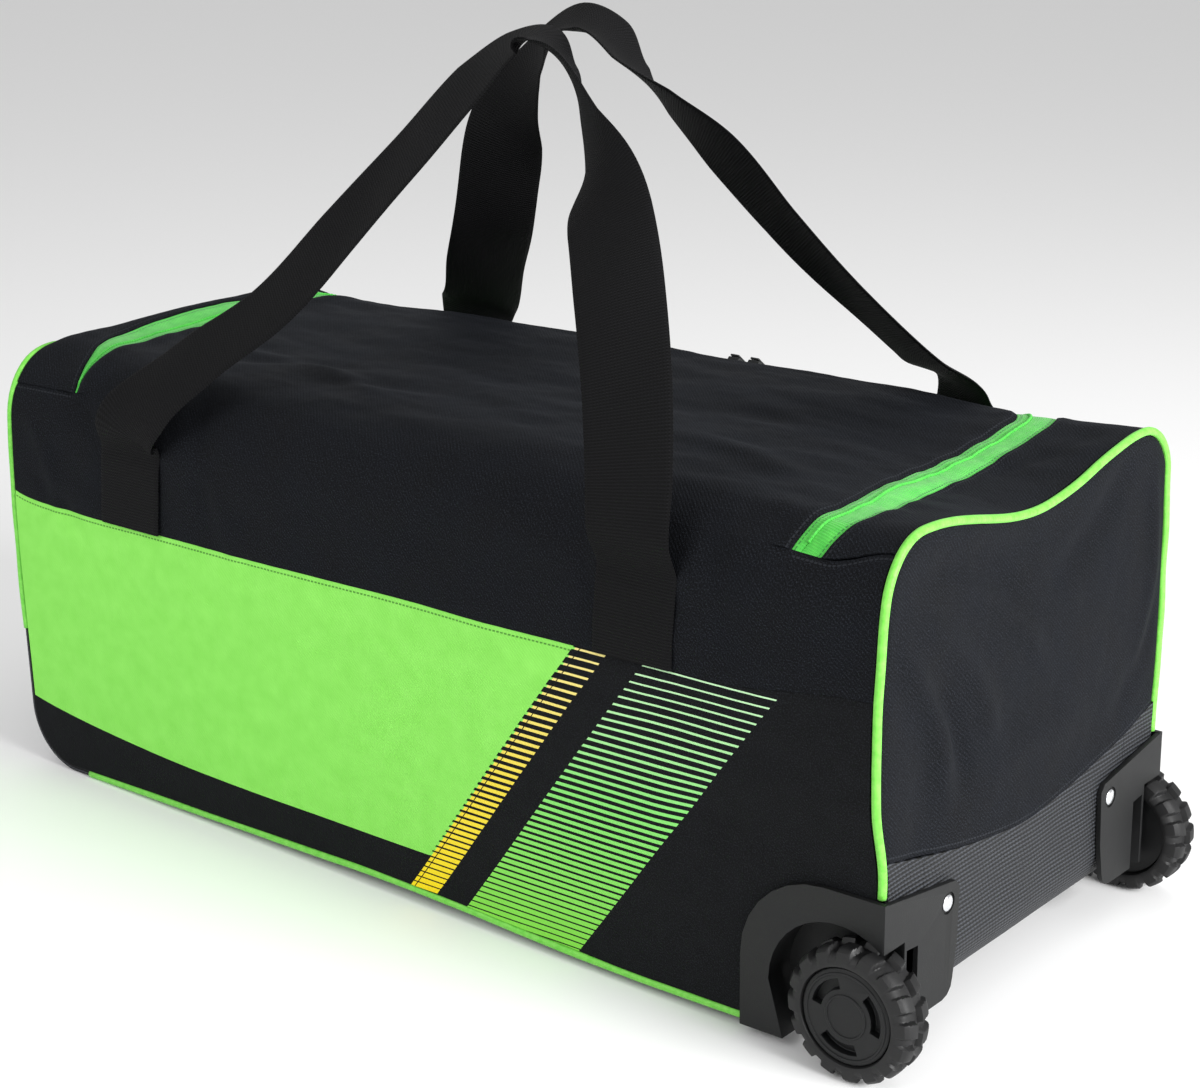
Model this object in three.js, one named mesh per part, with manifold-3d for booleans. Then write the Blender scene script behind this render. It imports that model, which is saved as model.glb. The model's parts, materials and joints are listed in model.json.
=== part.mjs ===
// Wheeled cricket kit bag: a soft box body with a U-shaped zip lid, two webbing carry handles,
// ribbed scuff ends and a pair of moulded wheel housings.
// Millimetres. The bag is drawn level (x from the towing end to the wheel end, y from the front panel
// to the back, z up from the base) and the whole group is then tipped on to its wheels.
import * as THREE from "three";
import { mergeVertices } from "three/addons/utils/BufferGeometryUtils.js";
import Module from "manifold-3d";

const wasm = await Module();
wasm.setup();

// Body
const bodyLength = 820;
const bodyDepth = 363;
const bodyHeight = 340;
const wall = 2;
const baseThickness = 3;
const seamGap = 0.3;
const cornerRound = 52;
const bulge = 12;
const topSag = 20;
const towEndRadius = 50;
const wheelEndRadius = 45;
const printHeight = 228;
const frontDeckSeam = bodyHeight - 22;
const backDeckSeam = bodyHeight - 40;

// Piping and bindings
const beadRadius = 2.9;
const beadProud = 1;
const bottomBeadProud = 0.3;
const towBindingTop = 115;
const bindingRadius = 2.3;
const bindingRun = 15;

// Ribbed scuff panels: their top edge dips in the middle like a smile
const wheelScuffEdge = 131;
const wheelScuffMiddle = 101;
const towScuffEdge = 112;
const towScuffMiddle = 88;

// Zip
const zipInnerTape = 9;
const zipOuterTape = 18;
const zipGap = 0.6;
const zipWheelFront = bodyLength - 63;
const zipWheelSide = bodyLength - 81;
const zipTowFront = 92;
const zipTowSide = 44;
const zipBackInset = 36;
const zipCorner = 44;
const sliderLength = 11;
const sliderWidth = 8;
const sliderHeight = 4;
const sliderSpacing = 19;
const sliderAt = bodyLength * 0.566;
const pullLength = 24;
const pullWidth = 8;
const pullThickness = 1.6;

// Webbing handles
const strapWidth = 65;
const strapThickness = 2.2;
const strapClear = 0.6;
const handleRise = 265;
const sewnTop = bodyHeight - 52;
const frontLegTow = bodyLength * 0.1805;
const frontLegWheel = bodyLength * 0.7707;
const backLegTow = bodyLength * 0.1927;
const backLegWheel = bodyLength * 0.7927;

// Wheels and moulded housings
const wheelX = bodyLength - 16;
const wheelZ = 28;
const tyreRadius = 47;
const treadDepth = 3;
const tyreInnerRadius = 33.4;
const tyreHalfWidth = 15.5;
const wheelMidY = -1.5;
const lugCount = 16;
const hubRadius = tyreInnerRadius - seamGap;
const hubFaceProud = 0.8;
const slotRadius = 22.5;
const slotWidth = 7;
const slotDepth = 6;
const slotSweep = 1.15;
const axleRadius = 4;
const axleHeadRadius = 8;
const axleHeadThickness = 3;
const runningGap = 0.5;
const plateThickness = 3.8;
const plateClear = 0.5;
const housingTow = bodyLength - 106;
const housingTop = 106;
const housingFoot = 10;
const housingEndReach = 86;
const housingEndTop = 93;
const notchReach = 36;
const notchTop = 72;
const notchSide = 64;
const wingFoot = 80;
const endPlateFoot = 12;
const endPlateRound = 12;
const towCorner = 64;
const pressRun = 62;
const pressEase = 8;
const archClear = 8;
const archX = bodyLength - 30;
const archZ = 30;
const archRadius = 53.5;
const wellDepth = 20;
const wellWall = 2.6;
const rivetRadius = 5.8;
const rivetRecess = 7.6;
const rivetRecessDepth = 1.4;
const rivetY = 72;
const rivetZ = 80;

// Shape of the cross-section along the bag. at is a share of the length, top of the body height,
// the rounds of cornerRound, the bulges of bulge and sag of topSag.
const stations = [
  { at: 0.0, top: 1.022, frontRound: 1.1, backRound: 1.3, frontBulge: 0.35, backBulge: 0.3, sag: -0.1 },
  { at: 0.1, top: 1.005, frontRound: 1.12, backRound: 1.15, frontBulge: 0.7, backBulge: 0.5, sag: 0.05 },
  { at: 0.25, top: 1.0, frontRound: 1.2, backRound: 0.9, frontBulge: 0.95, backBulge: 0.8, sag: 0.15 },
  { at: 0.5, top: 1.003, frontRound: 1.2, backRound: 0.9, frontBulge: 1.0, backBulge: 1.0, sag: 0.2 },
  { at: 0.75, top: 1.0, frontRound: 1.15, backRound: 0.9, frontBulge: 1.0, backBulge: 0.8, sag: 0.15 },
  { at: 0.9, top: 0.99, frontRound: 0.95, backRound: 0.85, frontBulge: 0.95, backBulge: 0.5, sag: 0.45 },
  { at: 1.0, top: 1.003, frontRound: 0.75, backRound: 0.75, frontBulge: 0.9, backBulge: 0.3, sag: 1.05 },
];

// Broad dents and swells of the two end panels: places are shares of depth and height,
// spreads too, and depth is a share of bulge (minus goes into the bag)
const endDents = [
  { end: 1, y: 0.5, z: 0.88, spreadY: 0.3, spreadZ: 0.14, depth: -0.6 },
  { end: 1, y: 0.14, z: 0.46, spreadY: 0.1, spreadZ: 0.12, depth: -0.45 },
  { end: 1, y: 0.55, z: 0.55, spreadY: 0.3, spreadZ: 0.22, depth: 0.35 },
  { end: 0, y: 0.5, z: 0.62, spreadY: 0.34, spreadZ: 0.26, depth: 0.5 },
];

// Routes of the two handles between the sewn legs: x is a share of the length, y of the depth,
// rise of handleRise above the body height; across is the direction of the strap's width
const frontRoute = [
  { x: 0.182, y: -0.03, rise: -0.135, across: [1, -0.02, 0] },
  { x: 0.209, y: -0.012, rise: -0.03, across: [0.97, -0.12, -0.05] },
  { x: 0.247, y: 0.05, rise: 0.085, across: [0.94, -0.22, -0.12] },
  { x: 0.299, y: 0.138, rise: 0.226, across: [0.88, -0.36, -0.18] },
  { x: 0.359, y: 0.218, rise: 0.445, across: [0.8, -0.5, -0.33] },
  { x: 0.414, y: 0.284, rise: 0.657, across: [0.79, -0.54, -0.28] },
  { x: 0.459, y: 0.358, rise: 0.85, across: [0.77, -0.58, -0.26] },
  { x: 0.484, y: 0.41, rise: 0.945, across: [0.6, -0.76, -0.25] },
  { x: 0.507, y: 0.434, rise: 0.975, across: [0.45, -0.88, -0.15] },
  { x: 0.532, y: 0.427, rise: 0.935, across: [0.5, -0.85, 0.05] },
  { x: 0.563, y: 0.394, rise: 0.868, across: [0.63, -0.74, 0.22] },
  { x: 0.606, y: 0.33, rise: 0.74, across: [0.76, -0.6, 0.2] },
  { x: 0.662, y: 0.22, rise: 0.581, across: [0.98, 0.1, 0.12] },
  { x: 0.71, y: 0.11, rise: 0.419, across: [0.97, 0.22, 0.08] },
  { x: 0.746, y: 0.027, rise: 0.226, across: [0.97, 0.22, 0.08] },
  { x: 0.764, y: -0.022, rise: 0.04, across: [0.98, 0.16, 0.05] },
  { x: 0.77, y: -0.042, rise: -0.11, across: [1, 0.03, 0] },
];
const backRoute = [
  { x: 0.198, y: 1.022, rise: -0.12, across: [1, 0.03, 0] },
  { x: 0.21, y: 1.005, rise: -0.02, across: [0.97, 0.2, -0.03] },
  { x: 0.24, y: 0.948, rise: 0.055, across: [0.9, 0.38, -0.08] },
  { x: 0.285, y: 0.845, rise: 0.19, across: [0.9, 0.4, 0] },
  { x: 0.335, y: 0.744, rise: 0.347, across: [0.94, 0.3, 0.12] },
  { x: 0.372, y: 0.675, rise: 0.543, across: [0.96, 0.26, 0.13] },
  { x: 0.394, y: 0.64, rise: 0.665, across: [0.99, 0.1, 0.09] },
  { x: 0.413, y: 0.63, rise: 0.77, across: [0.96, -0.25, 0.0] },
  { x: 0.44, y: 0.632, rise: 0.895, across: [0.75, -0.64, -0.12] },
  { x: 0.472, y: 0.63, rise: 0.98, across: [0.5, -0.85, -0.16] },
  { x: 0.511, y: 0.622, rise: 0.972, across: [0.43, -0.89, -0.14] },
  { x: 0.55, y: 0.606, rise: 0.89, across: [0.52, -0.84, -0.05] },
  { x: 0.588, y: 0.624, rise: 0.79, across: [0.78, -0.58, 0.1] },
  { x: 0.634, y: 0.655, rise: 0.665, across: [0.93, -0.34, 0.12] },
  { x: 0.682, y: 0.702, rise: 0.491, across: [0.86, -0.46, 0.22] },
  { x: 0.745, y: 0.771, rise: 0.275, across: [0.8, -0.5, 0.2] },
  { x: 0.783, y: 0.87, rise: 0.105, across: [0.74, -0.6, 0.24] },
  { x: 0.796, y: 0.985, rise: 0.0, across: [0.86, -0.48, 0.05] },
  { x: 0.795, y: 1.025, rise: -0.12, across: [1, -0.03, 0] },
];

// Resolution of the faceted solids
const stepsAlong = 16;
const stepsPanel = 5;
const stepsZipSide = 9;
const stepsZipCorner = 4;
const stepsZipBack = 12;
const stepsLeg = 6;
const stepsRound = 5;
const stepsTop = 8;
const stepsBinding = 14;
const beadSides = 6;
const stepsSewn = 5;
const stepsStrap = 54;
const roundSides = 32;

const edge = 2 * beadRadius - beadProud + seamGap;
const beadDepth = beadRadius - beadProud;
const lowerEdge = 2 * beadRadius - bottomBeadProud + seamGap;
const clamp = THREE.MathUtils.clamp;
const smoothstep = THREE.MathUtils.smoothstep;

const cloth = { color: 0x17181a, roughness: 0.85, metalness: 0 };
const ribbed = { color: 0x222426, roughness: 0.8, metalness: 0 };
const lime = { color: 0x74e04e, roughness: 0.7, metalness: 0 };
const print = { color: 0x8ae866, roughness: 0.75, metalness: 0 };
const moulding = { color: 0x2b2b2c, roughness: 0.6, metalness: 0 };
const rubber = { color: 0x1b1b1c, roughness: 0.7, metalness: 0 };
const steel = { color: 0xd8dade, roughness: 0.25, metalness: 1 };

const bag = new THREE.Group();

function addMesh(name, geometry, look) {
  const mesh = new THREE.Mesh(geometry, new THREE.MeshStandardMaterial(look));
  mesh.name = name;
  bag.add(mesh);
  return mesh;
}

// Smooth curve through the rows of a table, one column at a time
function rowAt(table, at) {
  const last = table.length - 1;
  let i = 0;
  while (i < last - 1 && table[i + 1].at < at) {
    i += 1;
  }
  const a = table[Math.max(i - 1, 0)];
  const b = table[i];
  const c = table[i + 1];
  const d = table[Math.min(i + 2, last)];
  const t = (at - b.at) / (c.at - b.at);
  const row = {};
  for (const key of Object.keys(b)) {
    const before = (c[key] - a[key]) / (c.at - a.at);
    const after = (d[key] - b[key]) / (d.at - b.at);
    const run = c.at - b.at;
    const h00 = 2 * t ** 3 - 3 * t ** 2 + 1;
    const h10 = t ** 3 - 2 * t ** 2 + t;
    const h01 = 3 * t ** 2 - 2 * t ** 3;
    const h11 = t ** 3 - t ** 2;
    row[key] = h00 * b[key] + h10 * run * before + h01 * c[key] + h11 * run * after;
  }
  return row;
}

// Cross-section at x: girth positions s start at the foot of the front top round (0), pass the top
// and end down the back; below 0 lies the front wall and past s3 the back wall
function section(x) {
  const row = rowAt(stations, clamp(x / bodyLength, 0, 1));
  const top = row.top * bodyHeight;
  const frontRound = row.frontRound * cornerRound;
  const backRound = row.backRound * cornerRound;
  const s1 = (frontRound * Math.PI) / 2;
  const s2 = s1 + bodyDepth - frontRound - backRound;
  const s3 = s2 + (backRound * Math.PI) / 2;
  return {
    top,
    frontRound,
    backRound,
    s1,
    s2,
    s3,
    frontBulge: row.frontBulge * bulge,
    backBulge: row.backBulge * bulge,
    sag: row.sag * topSag,
  };
}

// The cloth is held flat where the wheel housings press on it
function pressed(x, z) {
  const along = smoothstep(x, housingTow - pressEase - pressRun, housingTow - pressEase);
  const below = 1 - smoothstep(z, housingTop + pressEase, housingTop + pressEase + pressRun);
  return 1 - along * below;
}

function wallSwell(amount, z, top, x) {
  const t = clamp(z / top, 0, 1) ** 1.35;
  return amount * Math.sin(Math.PI * t) ** 1.2 * pressed(x, z);
}

// Point on the body's outer surface at x and girth s, moved outwards by offset
function skin(x, s, offset = 0) {
  const c = section(x);
  let y = 0;
  let z = c.top - c.frontRound + s;
  let ny = -1;
  let nz = 0;
  let swell = 0;
  if (s > c.s3) {
    y = bodyDepth;
    z = c.top - c.backRound - (s - c.s3);
    ny = 1;
  } else if (s > c.s2) {
    const a = (s - c.s2) / c.backRound;
    y = bodyDepth - c.backRound + c.backRound * Math.sin(a);
    z = c.top - c.backRound + c.backRound * Math.cos(a);
    ny = Math.sin(a);
    nz = Math.cos(a);
  } else if (s > c.s1) {
    y = c.frontRound + s - c.s1;
    z = c.top;
    ny = 0;
    nz = 1;
    swell = -c.sag * Math.sin((Math.PI * (s - c.s1)) / (c.s2 - c.s1)) ** 2;
  } else if (s > 0) {
    const a = s / c.frontRound;
    y = c.frontRound * (1 - Math.cos(a));
    z = c.top - c.frontRound + c.frontRound * Math.sin(a);
    ny = -Math.cos(a);
    nz = Math.sin(a);
  }
  if (s <= c.s1) {
    swell += wallSwell(c.frontBulge, z, c.top, x);
  }
  if (s >= c.s2) {
    swell += wallSwell(c.backBulge, z, c.top, x);
  }
  return new THREE.Vector3(x, y + ny * (swell + offset), z + nz * (swell + offset));
}

// Girth position of a height on the front wall or its round
function frontGirth(x, z) {
  const c = section(x);
  const foot = c.top - c.frontRound;
  return z <= foot ? z - foot : c.frontRound * Math.asin(Math.min((z - foot) / c.frontRound, 1));
}

function backGirth(x, z) {
  const c = section(x);
  const foot = c.top - c.backRound;
  return z <= foot ? c.s3 + foot - z : c.s2 + c.backRound * Math.acos(Math.min((z - foot) / c.backRound, 1));
}

function volumeOf(position, index) {
  const a = new THREE.Vector3();
  const b = new THREE.Vector3();
  const c = new THREE.Vector3();
  let six = 0;
  for (let i = 0; i < index.length; i += 3) {
    a.fromArray(position, index[i] * 3);
    b.fromArray(position, index[i + 1] * 3);
    c.fromArray(position, index[i + 2] * 3);
    six += a.dot(b.cross(c));
  }
  return six;
}

// Geometry from points and triangles, turned so that its faces point out
function solid(points, index) {
  const position = points.flatMap((p) => [p.x, p.y, p.z]);
  if (volumeOf(position, index) < 0) {
    index.reverse();
  }
  const geometry = new THREE.BufferGeometry();
  geometry.setAttribute("position", new THREE.Float32BufferAttribute(position, 3));
  geometry.setIndex(index);
  return geometry;
}

// Closed sheet with thickness: outer and inner are functions of column i and row j
function sheet(columns, rows, outer, inner) {
  const points = [];
  const index = [];
  const across = rows + 1;
  const back = (columns + 1) * across;
  for (const face of [outer, inner]) {
    for (let i = 0; i <= columns; i += 1) {
      for (let j = 0; j <= rows; j += 1) {
        points.push(face(i, j));
      }
    }
  }
  const quad = (a, b, c, d) => index.push(a, b, c, a, c, d);
  for (let i = 0; i < columns; i += 1) {
    for (let j = 0; j < rows; j += 1) {
      const k = i * across + j;
      quad(k, k + across, k + across + 1, k + 1);
      quad(back + k, back + k + 1, back + k + across + 1, back + k + across);
    }
    const near = i * across;
    const far = near + rows;
    quad(near, back + near, back + near + across, near + across);
    quad(far, far + across, back + far + across, back + far);
  }
  for (let j = 0; j < rows; j += 1) {
    const end = columns * across + j;
    quad(j, j + 1, back + j + 1, back + j);
    quad(end, back + end, back + end + 1, end + 1);
  }
  return solid(points, index);
}

// Sheet of the body's cloth: place(i, j) gives x and girth
function clothPanel(columns, rows, place, thickness = wall) {
  const at = (i, j, offset) => {
    const [x, s] = place(i, j);
    return skin(x, s, offset);
  };
  return sheet(columns, rows, (i, j) => at(i, j, 0), (i, j) => at(i, j, -thickness));
}

// Round bead along a list of points, closed at both ends
function bead(path, radius, sides = beadSides) {
  const points = [];
  const index = [];
  const normal = new THREE.Vector3(0.3, 0.5, 0.81);
  path.forEach((p, i) => {
    const before = path[Math.max(i - 1, 0)];
    const after = path[Math.min(i + 1, path.length - 1)];
    const along = after.clone().sub(before).normalize();
    normal.addScaledVector(along, -normal.dot(along)).normalize();
    const side = along.clone().cross(normal);
    for (let k = 0; k < sides; k += 1) {
      const a = (2 * Math.PI * k) / sides;
      points.push(p.clone().addScaledVector(normal, radius * Math.cos(a)).addScaledVector(side, radius * Math.sin(a)));
    }
  });
  for (let i = 0; i + 1 < path.length; i += 1) {
    for (let k = 0; k < sides; k += 1) {
      const a = i * sides + k;
      const b = i * sides + ((k + 1) % sides);
      index.push(a, b, b + sides, a, b + sides, a + sides);
    }
  }
  const last = (path.length - 1) * sides;
  for (let k = 1; k + 1 < sides; k += 1) {
    index.push(0, k + 1, k, last, last + k, last + k + 1);
  }
  return solid(points, index);
}

function toManifold(geometry) {
  const plain = geometry.clone();
  plain.deleteAttribute("normal");
  plain.deleteAttribute("uv");
  const merged = mergeVertices(plain, 1e-4);
  return new wasm.Manifold(
    new wasm.Mesh({
      numProp: 3,
      vertProperties: new Float32Array(merged.attributes.position.array),
      triVerts: new Uint32Array(merged.index.array),
    }),
  );
}

function fromManifold(manifold) {
  const mesh = manifold.getMesh();
  const geometry = new THREE.BufferGeometry();
  geometry.setAttribute("position", new THREE.BufferAttribute(new Float32Array(mesh.vertProperties), 3));
  geometry.setIndex(new THREE.BufferAttribute(new Uint32Array(mesh.triVerts), 1));
  return geometry;
}

// Outline in x and z, extruded along y from y0 to y1
function slabXZ(outline, y0, y1) {
  const shape = new THREE.Shape(outline.map(([x, z]) => new THREE.Vector2(x, z)));
  const geometry = new THREE.ExtrudeGeometry(shape, { depth: y1 - y0, bevelEnabled: false, steps: 1 });
  geometry.rotateX(Math.PI / 2);
  geometry.translate(0, y1, 0);
  return toManifold(geometry);
}

// Outline in y and z, extruded along x from x0 to x1
function slabYZ(outline, x0, x1) {
  const shape = new THREE.Shape(outline.map(([y, z]) => new THREE.Vector2(y, z)));
  const geometry = new THREE.ExtrudeGeometry(shape, { depth: x1 - x0, bevelEnabled: false, steps: 1 });
  geometry.applyMatrix4(new THREE.Matrix4().set(0, 0, 1, x0, 1, 0, 0, 0, 0, 1, 0, 0, 0, 0, 0, 1));
  return toManifold(geometry);
}

function arcPoints(cx, cz, radius, from, to, count) {
  return Array.from({ length: count + 1 }, (_, i) => {
    const a = from + ((to - from) * i) / count;
    return [cx + radius * Math.cos(a), cz + radius * Math.sin(a)];
  });
}

// Disc with its axis along y, turned from a closed profile of [radius, y] pairs
function turned(profile, sides = roundSides) {
  const geometry = new THREE.LatheGeometry(profile.map(([r, y]) => new THREE.Vector2(r, y)), sides);
  return toManifold(geometry);
}

// Lower front and back panels. Their tow end follows the round of the base, and the wheel end is cut
// away behind the wheel housing.
function lowerPanelColumns() {
  const radius = towEndRadius - lowerEdge;
  const cut = archRadius + archClear;
  const columns = [];
  for (let k = 0; k <= 4; k += 1) {
    const a = (Math.PI / 2) * (k / 4);
    columns.push([towEndRadius - radius * Math.cos(a), towEndRadius - radius * Math.sin(a)]);
  }
  const start = archX - cut;
  for (let k = 1; k <= 10; k += 1) {
    columns.push([towEndRadius + ((start - towEndRadius) * k) / 10, lowerEdge]);
  }
  for (let k = 0; k <= 4; k += 1) {
    const a = Math.PI - (Math.PI / 2) * (k / 4);
    columns.push([archX + cut * Math.cos(a) + 0.5, archZ + cut * Math.sin(a)]);
  }
  columns.push([bodyLength - edge, archZ + cut]);
  return columns;
}

function lowerPanel(girth) {
  const columns = lowerPanelColumns();
  const top = printHeight - seamGap / 2;
  return clothPanel(columns.length - 1, stepsPanel, (i, j) => {
    const [x, bottom] = columns[i];
    return [x, girth(x, bottom + ((top - bottom) * j) / stepsPanel)];
  });
}

// The deck is the top of the bag between its front and back seams: x and a distance m from the
// front seam stand for a place on it
function deckSpan(x) {
  return backGirth(x, backDeckSeam) - frontGirth(x, frontDeckSeam);
}

const deckDepth = deckSpan(bodyLength / 2);

function deck(x, m) {
  return [x, frontGirth(x, frontDeckSeam) + (m / deckDepth) * deckSpan(x)];
}

// Centre line of the zip on the deck, from the wheel end's front corner round the back to the tow
// end's, with the direction away from the lid at each stop
function zipLine() {
  const back = deckDepth - zipBackInset;
  const shoulder = back - zipCorner;
  const stops = [];
  const side = (front, along, sign) => {
    const rows = [];
    for (let k = 0; k <= stepsZipSide; k += 1) {
      const m = (shoulder * k) / stepsZipSide;
      const ease = Math.exp(-m / 55);
      const slope = (-(front - along) * ease) / 55;
      const length = Math.hypot(1, slope);
      rows.push({ x: along + (front - along) * ease, m, nx: sign / length, nm: (-sign * slope) / length });
    }
    return rows;
  };
  const corner = (cx, from, to) => {
    const rows = [];
    for (let k = 1; k <= stepsZipCorner; k += 1) {
      const a = from + ((to - from) * k) / stepsZipCorner;
      const c = Math.cos(a);
      const d = Math.sin(a);
      rows.push({ x: cx + zipCorner * c, m: shoulder + zipCorner * d, nx: c, nm: d });
    }
    return rows;
  };
  stops.push(...side(zipWheelFront, zipWheelSide, 1));
  stops.push(...corner(zipWheelSide - zipCorner, 0, Math.PI / 2));
  const from = zipWheelSide - zipCorner;
  const to = zipTowSide + zipCorner;
  for (let k = 1; k < stepsZipBack; k += 1) {
    stops.push({ x: from + ((to - from) * k) / stepsZipBack, m: back, nx: 0, nm: 1 });
  }
  stops.push({ x: to, m: back, nx: 0, nm: 1 });
  stops.push(...corner(to, Math.PI / 2, Math.PI));
  stops.push(...side(zipTowFront, zipTowSide, -1).reverse().slice(1));
  return stops;
}

const zipStops = zipLine();

function besideZip(i, distance) {
  const stop = zipStops[i];
  if (i === 0 || i === zipStops.length - 1) {
    return [stop.x + distance / stop.nx, 0];
  }
  return [stop.x + stop.nx * distance, stop.m + stop.nm * distance];
}

function zipTape(inner, outer) {
  return clothPanel(zipStops.length - 1, 1, (i, j) => deck(...besideZip(i, j === 0 ? inner : outer)));
}

// Lid: full width on the front above the printed panel, then between the two sides of the zip
function lidPanel() {
  const last = zipStops.length - 1;
  const frontRows = 4;
  const lidRows = stepsZipSide + stepsZipCorner;
  const reach = -(zipGap / 2 + zipInnerTape + 2 * seamGap);
  const place = (i, j) => {
    const share = i / stepsAlong;
    if (j <= frontRows) {
      const x = edge + (bodyLength - 2 * edge) * share;
      const from = printHeight + seamGap / 2;
      const s = frontGirth(x, frontDeckSeam);
      const s0 = frontGirth(x, from);
      return [x, s0 + ((s - s0) * j) / frontRows - (j === frontRows ? seamGap : 0)];
    }
    const k = j - frontRows - 1;
    const wheelSide = besideZip(k, reach);
    const towSide = besideZip(last - k, reach);
    const x = towSide[0] + (wheelSide[0] - towSide[0]) * share;
    return deck(x, towSide[1] + (wheelSide[1] - towSide[1]) * share);
  };
  return clothPanel(stepsAlong, frontRows + 1 + lidRows, place);
}

// Gusset between the zip and the end pipings, carried round the back to the back seam
function gussetPanel() {
  const last = zipStops.length - 1;
  const reach = zipGap / 2 + zipOuterTape + seamGap;
  const cornerStop = stepsZipSide + stepsZipCorner / 2;
  const outerEdge = (i) => {
    const near = Math.min(i, last - i);
    const x = i * 2 < last ? bodyLength - edge : edge;
    if (near <= cornerStop) {
      return [x, (deckDepth * near) / cornerStop];
    }
    const share = (i - cornerStop) / (last - 2 * cornerStop);
    return [bodyLength - edge - (bodyLength - 2 * edge) * share, deckDepth];
  };
  return clothPanel(last, 2, (i, j) => {
    const [x0, m0] = besideZip(i, reach);
    const [x1, m1] = outerEdge(i);
    const t = j / 2;
    return deck(x0 + (x1 - x0) * t, m0 + (m1 - m0) * t);
  });
}

// Upper back panel, between the back seam of the deck and the lower back panel
function upperBackPanel() {
  return clothPanel(stepsAlong, 2, (i, j) => {
    const x = edge + ((bodyLength - 2 * edge) * i) / stepsAlong;
    const z0 = printHeight + seamGap / 2;
    const z1 = backDeckSeam - seamGap;
    return [x, backGirth(x, z0 + ((z1 - z0) * j) / 2)];
  });
}

// Top edge of a scuff panel at y
function scuffTop(y, edgeHeight, middle) {
  const t = Math.abs((2 * y) / bodyDepth - 1);
  return middle + (edgeHeight - middle) * t ** 1.6;
}

// How far an end panel swells outwards at y and z
function endSwell(end, y, z) {
  let out = 0;
  for (const dent of endDents) {
    if (dent.end === end) {
      const dy = (y / bodyDepth - dent.y) / dent.spreadY;
      const dz = (z / bodyHeight - dent.z) / dent.spreadZ;
      out += dent.depth * bulge * Math.exp(-dy * dy - dz * dz);
    }
  }
  const fromEdge = Math.min(y, bodyDepth - y, bodyHeight - z);
  return out * smoothstep(fromEdge, 0, 45);
}

// Girth positions over the top of a section, closer together on its rounds
function overTheTop(c) {
  const tops = [];
  for (let k = 0; k < stepsRound; k += 1) {
    tops.push((c.s1 * k) / stepsRound);
  }
  for (let k = 0; k < stepsTop; k += 1) {
    tops.push(c.s1 + ((c.s2 - c.s1) * k) / stepsTop);
  }
  for (let k = 0; k <= stepsRound; k += 1) {
    tops.push(c.s2 + ((c.s3 - c.s2) * k) / stepsRound);
  }
  return tops;
}

// y of the front or back edge of an end at height z, drawn in from the skin by inset
function endEdgeY(x, z, inset, back) {
  const girth = back ? backGirth : frontGirth;
  return skin(x, girth(x, z), -inset).y;
}

// Upper end panel, from the scuff panel's seam to the piping round the section's outline
function endPanel(end, edgeHeight, middle) {
  const x = end * bodyLength;
  const out = end === 1 ? 1 : -1;
  const c = section(x);
  const tops = overTheTop(c);
  const foot = c.top - Math.max(c.frontRound, c.backRound);
  const inset = edge + seamGap;
  const front = (z) => endEdgeY(x, Math.min(z, foot), inset, false);
  const back = (z) => endEdgeY(x, Math.min(z, foot), inset, true);
  const spots = tops.map((s) => {
    const p = skin(x, s, -inset);
    return { share: (p.y - front(p.z)) / (back(p.z) - front(p.z)), top: p.z };
  });
  const place = (i, j, depth) => {
    const { share, top } = spots[i];
    const z0 = scuffTop(share * bodyDepth, edgeHeight, middle) + seamGap / 2;
    const z = z0 + ((top - z0) * j) / stepsPanel;
    const y = front(z) + share * (back(z) - front(z));
    return new THREE.Vector3(x + out * (endSwell(end, y, z) - depth), y, z);
  };
  return sheet(spots.length - 1, stepsPanel, (i, j) => place(i, j, 0), (i, j) => place(i, j, wall));
}

// Place on the rounded lower edge of an end: run is the distance up (plus) or round under (minus)
// from the start of the round
function lowerRound(end, radius, run, offset) {
  const x0 = end * bodyLength;
  const out = end === 1 ? 1 : -1;
  if (run >= 0) {
    return { x: x0 + out * offset, z: radius + run };
  }
  const a = Math.min(-run / radius, Math.PI / 2);
  const beyond = Math.max(-run - (radius * Math.PI) / 2, 0);
  return {
    x: x0 - out * (radius + beyond) + out * (radius + offset) * Math.cos(a),
    z: radius - (radius + offset) * Math.sin(a),
  };
}

// Ribbed scuff panel: from its curved top edge down and round under the base
function scuffPanel(end, radius, edgeHeight, middle, notchWidth) {
  const rows = 7;
  const under = (-radius * Math.PI) / 2;
  const shares = [];
  const inner = notchWidth / bodyDepth;
  if (notchWidth > 0) {
    shares.push(0, inner - seamGap / bodyDepth);
  }
  for (let k = 0; k <= 8; k += 1) {
    shares.push(inner + ((1 - 2 * inner) * k) / 8);
  }
  if (notchWidth > 0) {
    shares.push(1 - inner + seamGap / bodyDepth, 1);
  }
  const place = (i, j, offset) => {
    const share = shares[i];
    const wing = share < inner || share > 1 - inner;
    const from = scuffTop(share * bodyDepth, edgeHeight, middle) - seamGap - radius;
    const to = wing ? wingFoot - radius : under;
    const spot = lowerRound(end, radius, from + ((to - from) * j) / rows, offset);
    const height = Math.max(spot.z, edge);
    const front = endEdgeY(end * bodyLength, height, edge, false);
    const back = endEdgeY(end * bodyLength, height, edge, true);
    return new THREE.Vector3(spot.x, front + share * (back - front), spot.z);
  };
  return sheet(shares.length - 1, rows, (i, j) => place(i, j, 0), (i, j) => place(i, j, -wall));
}

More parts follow.
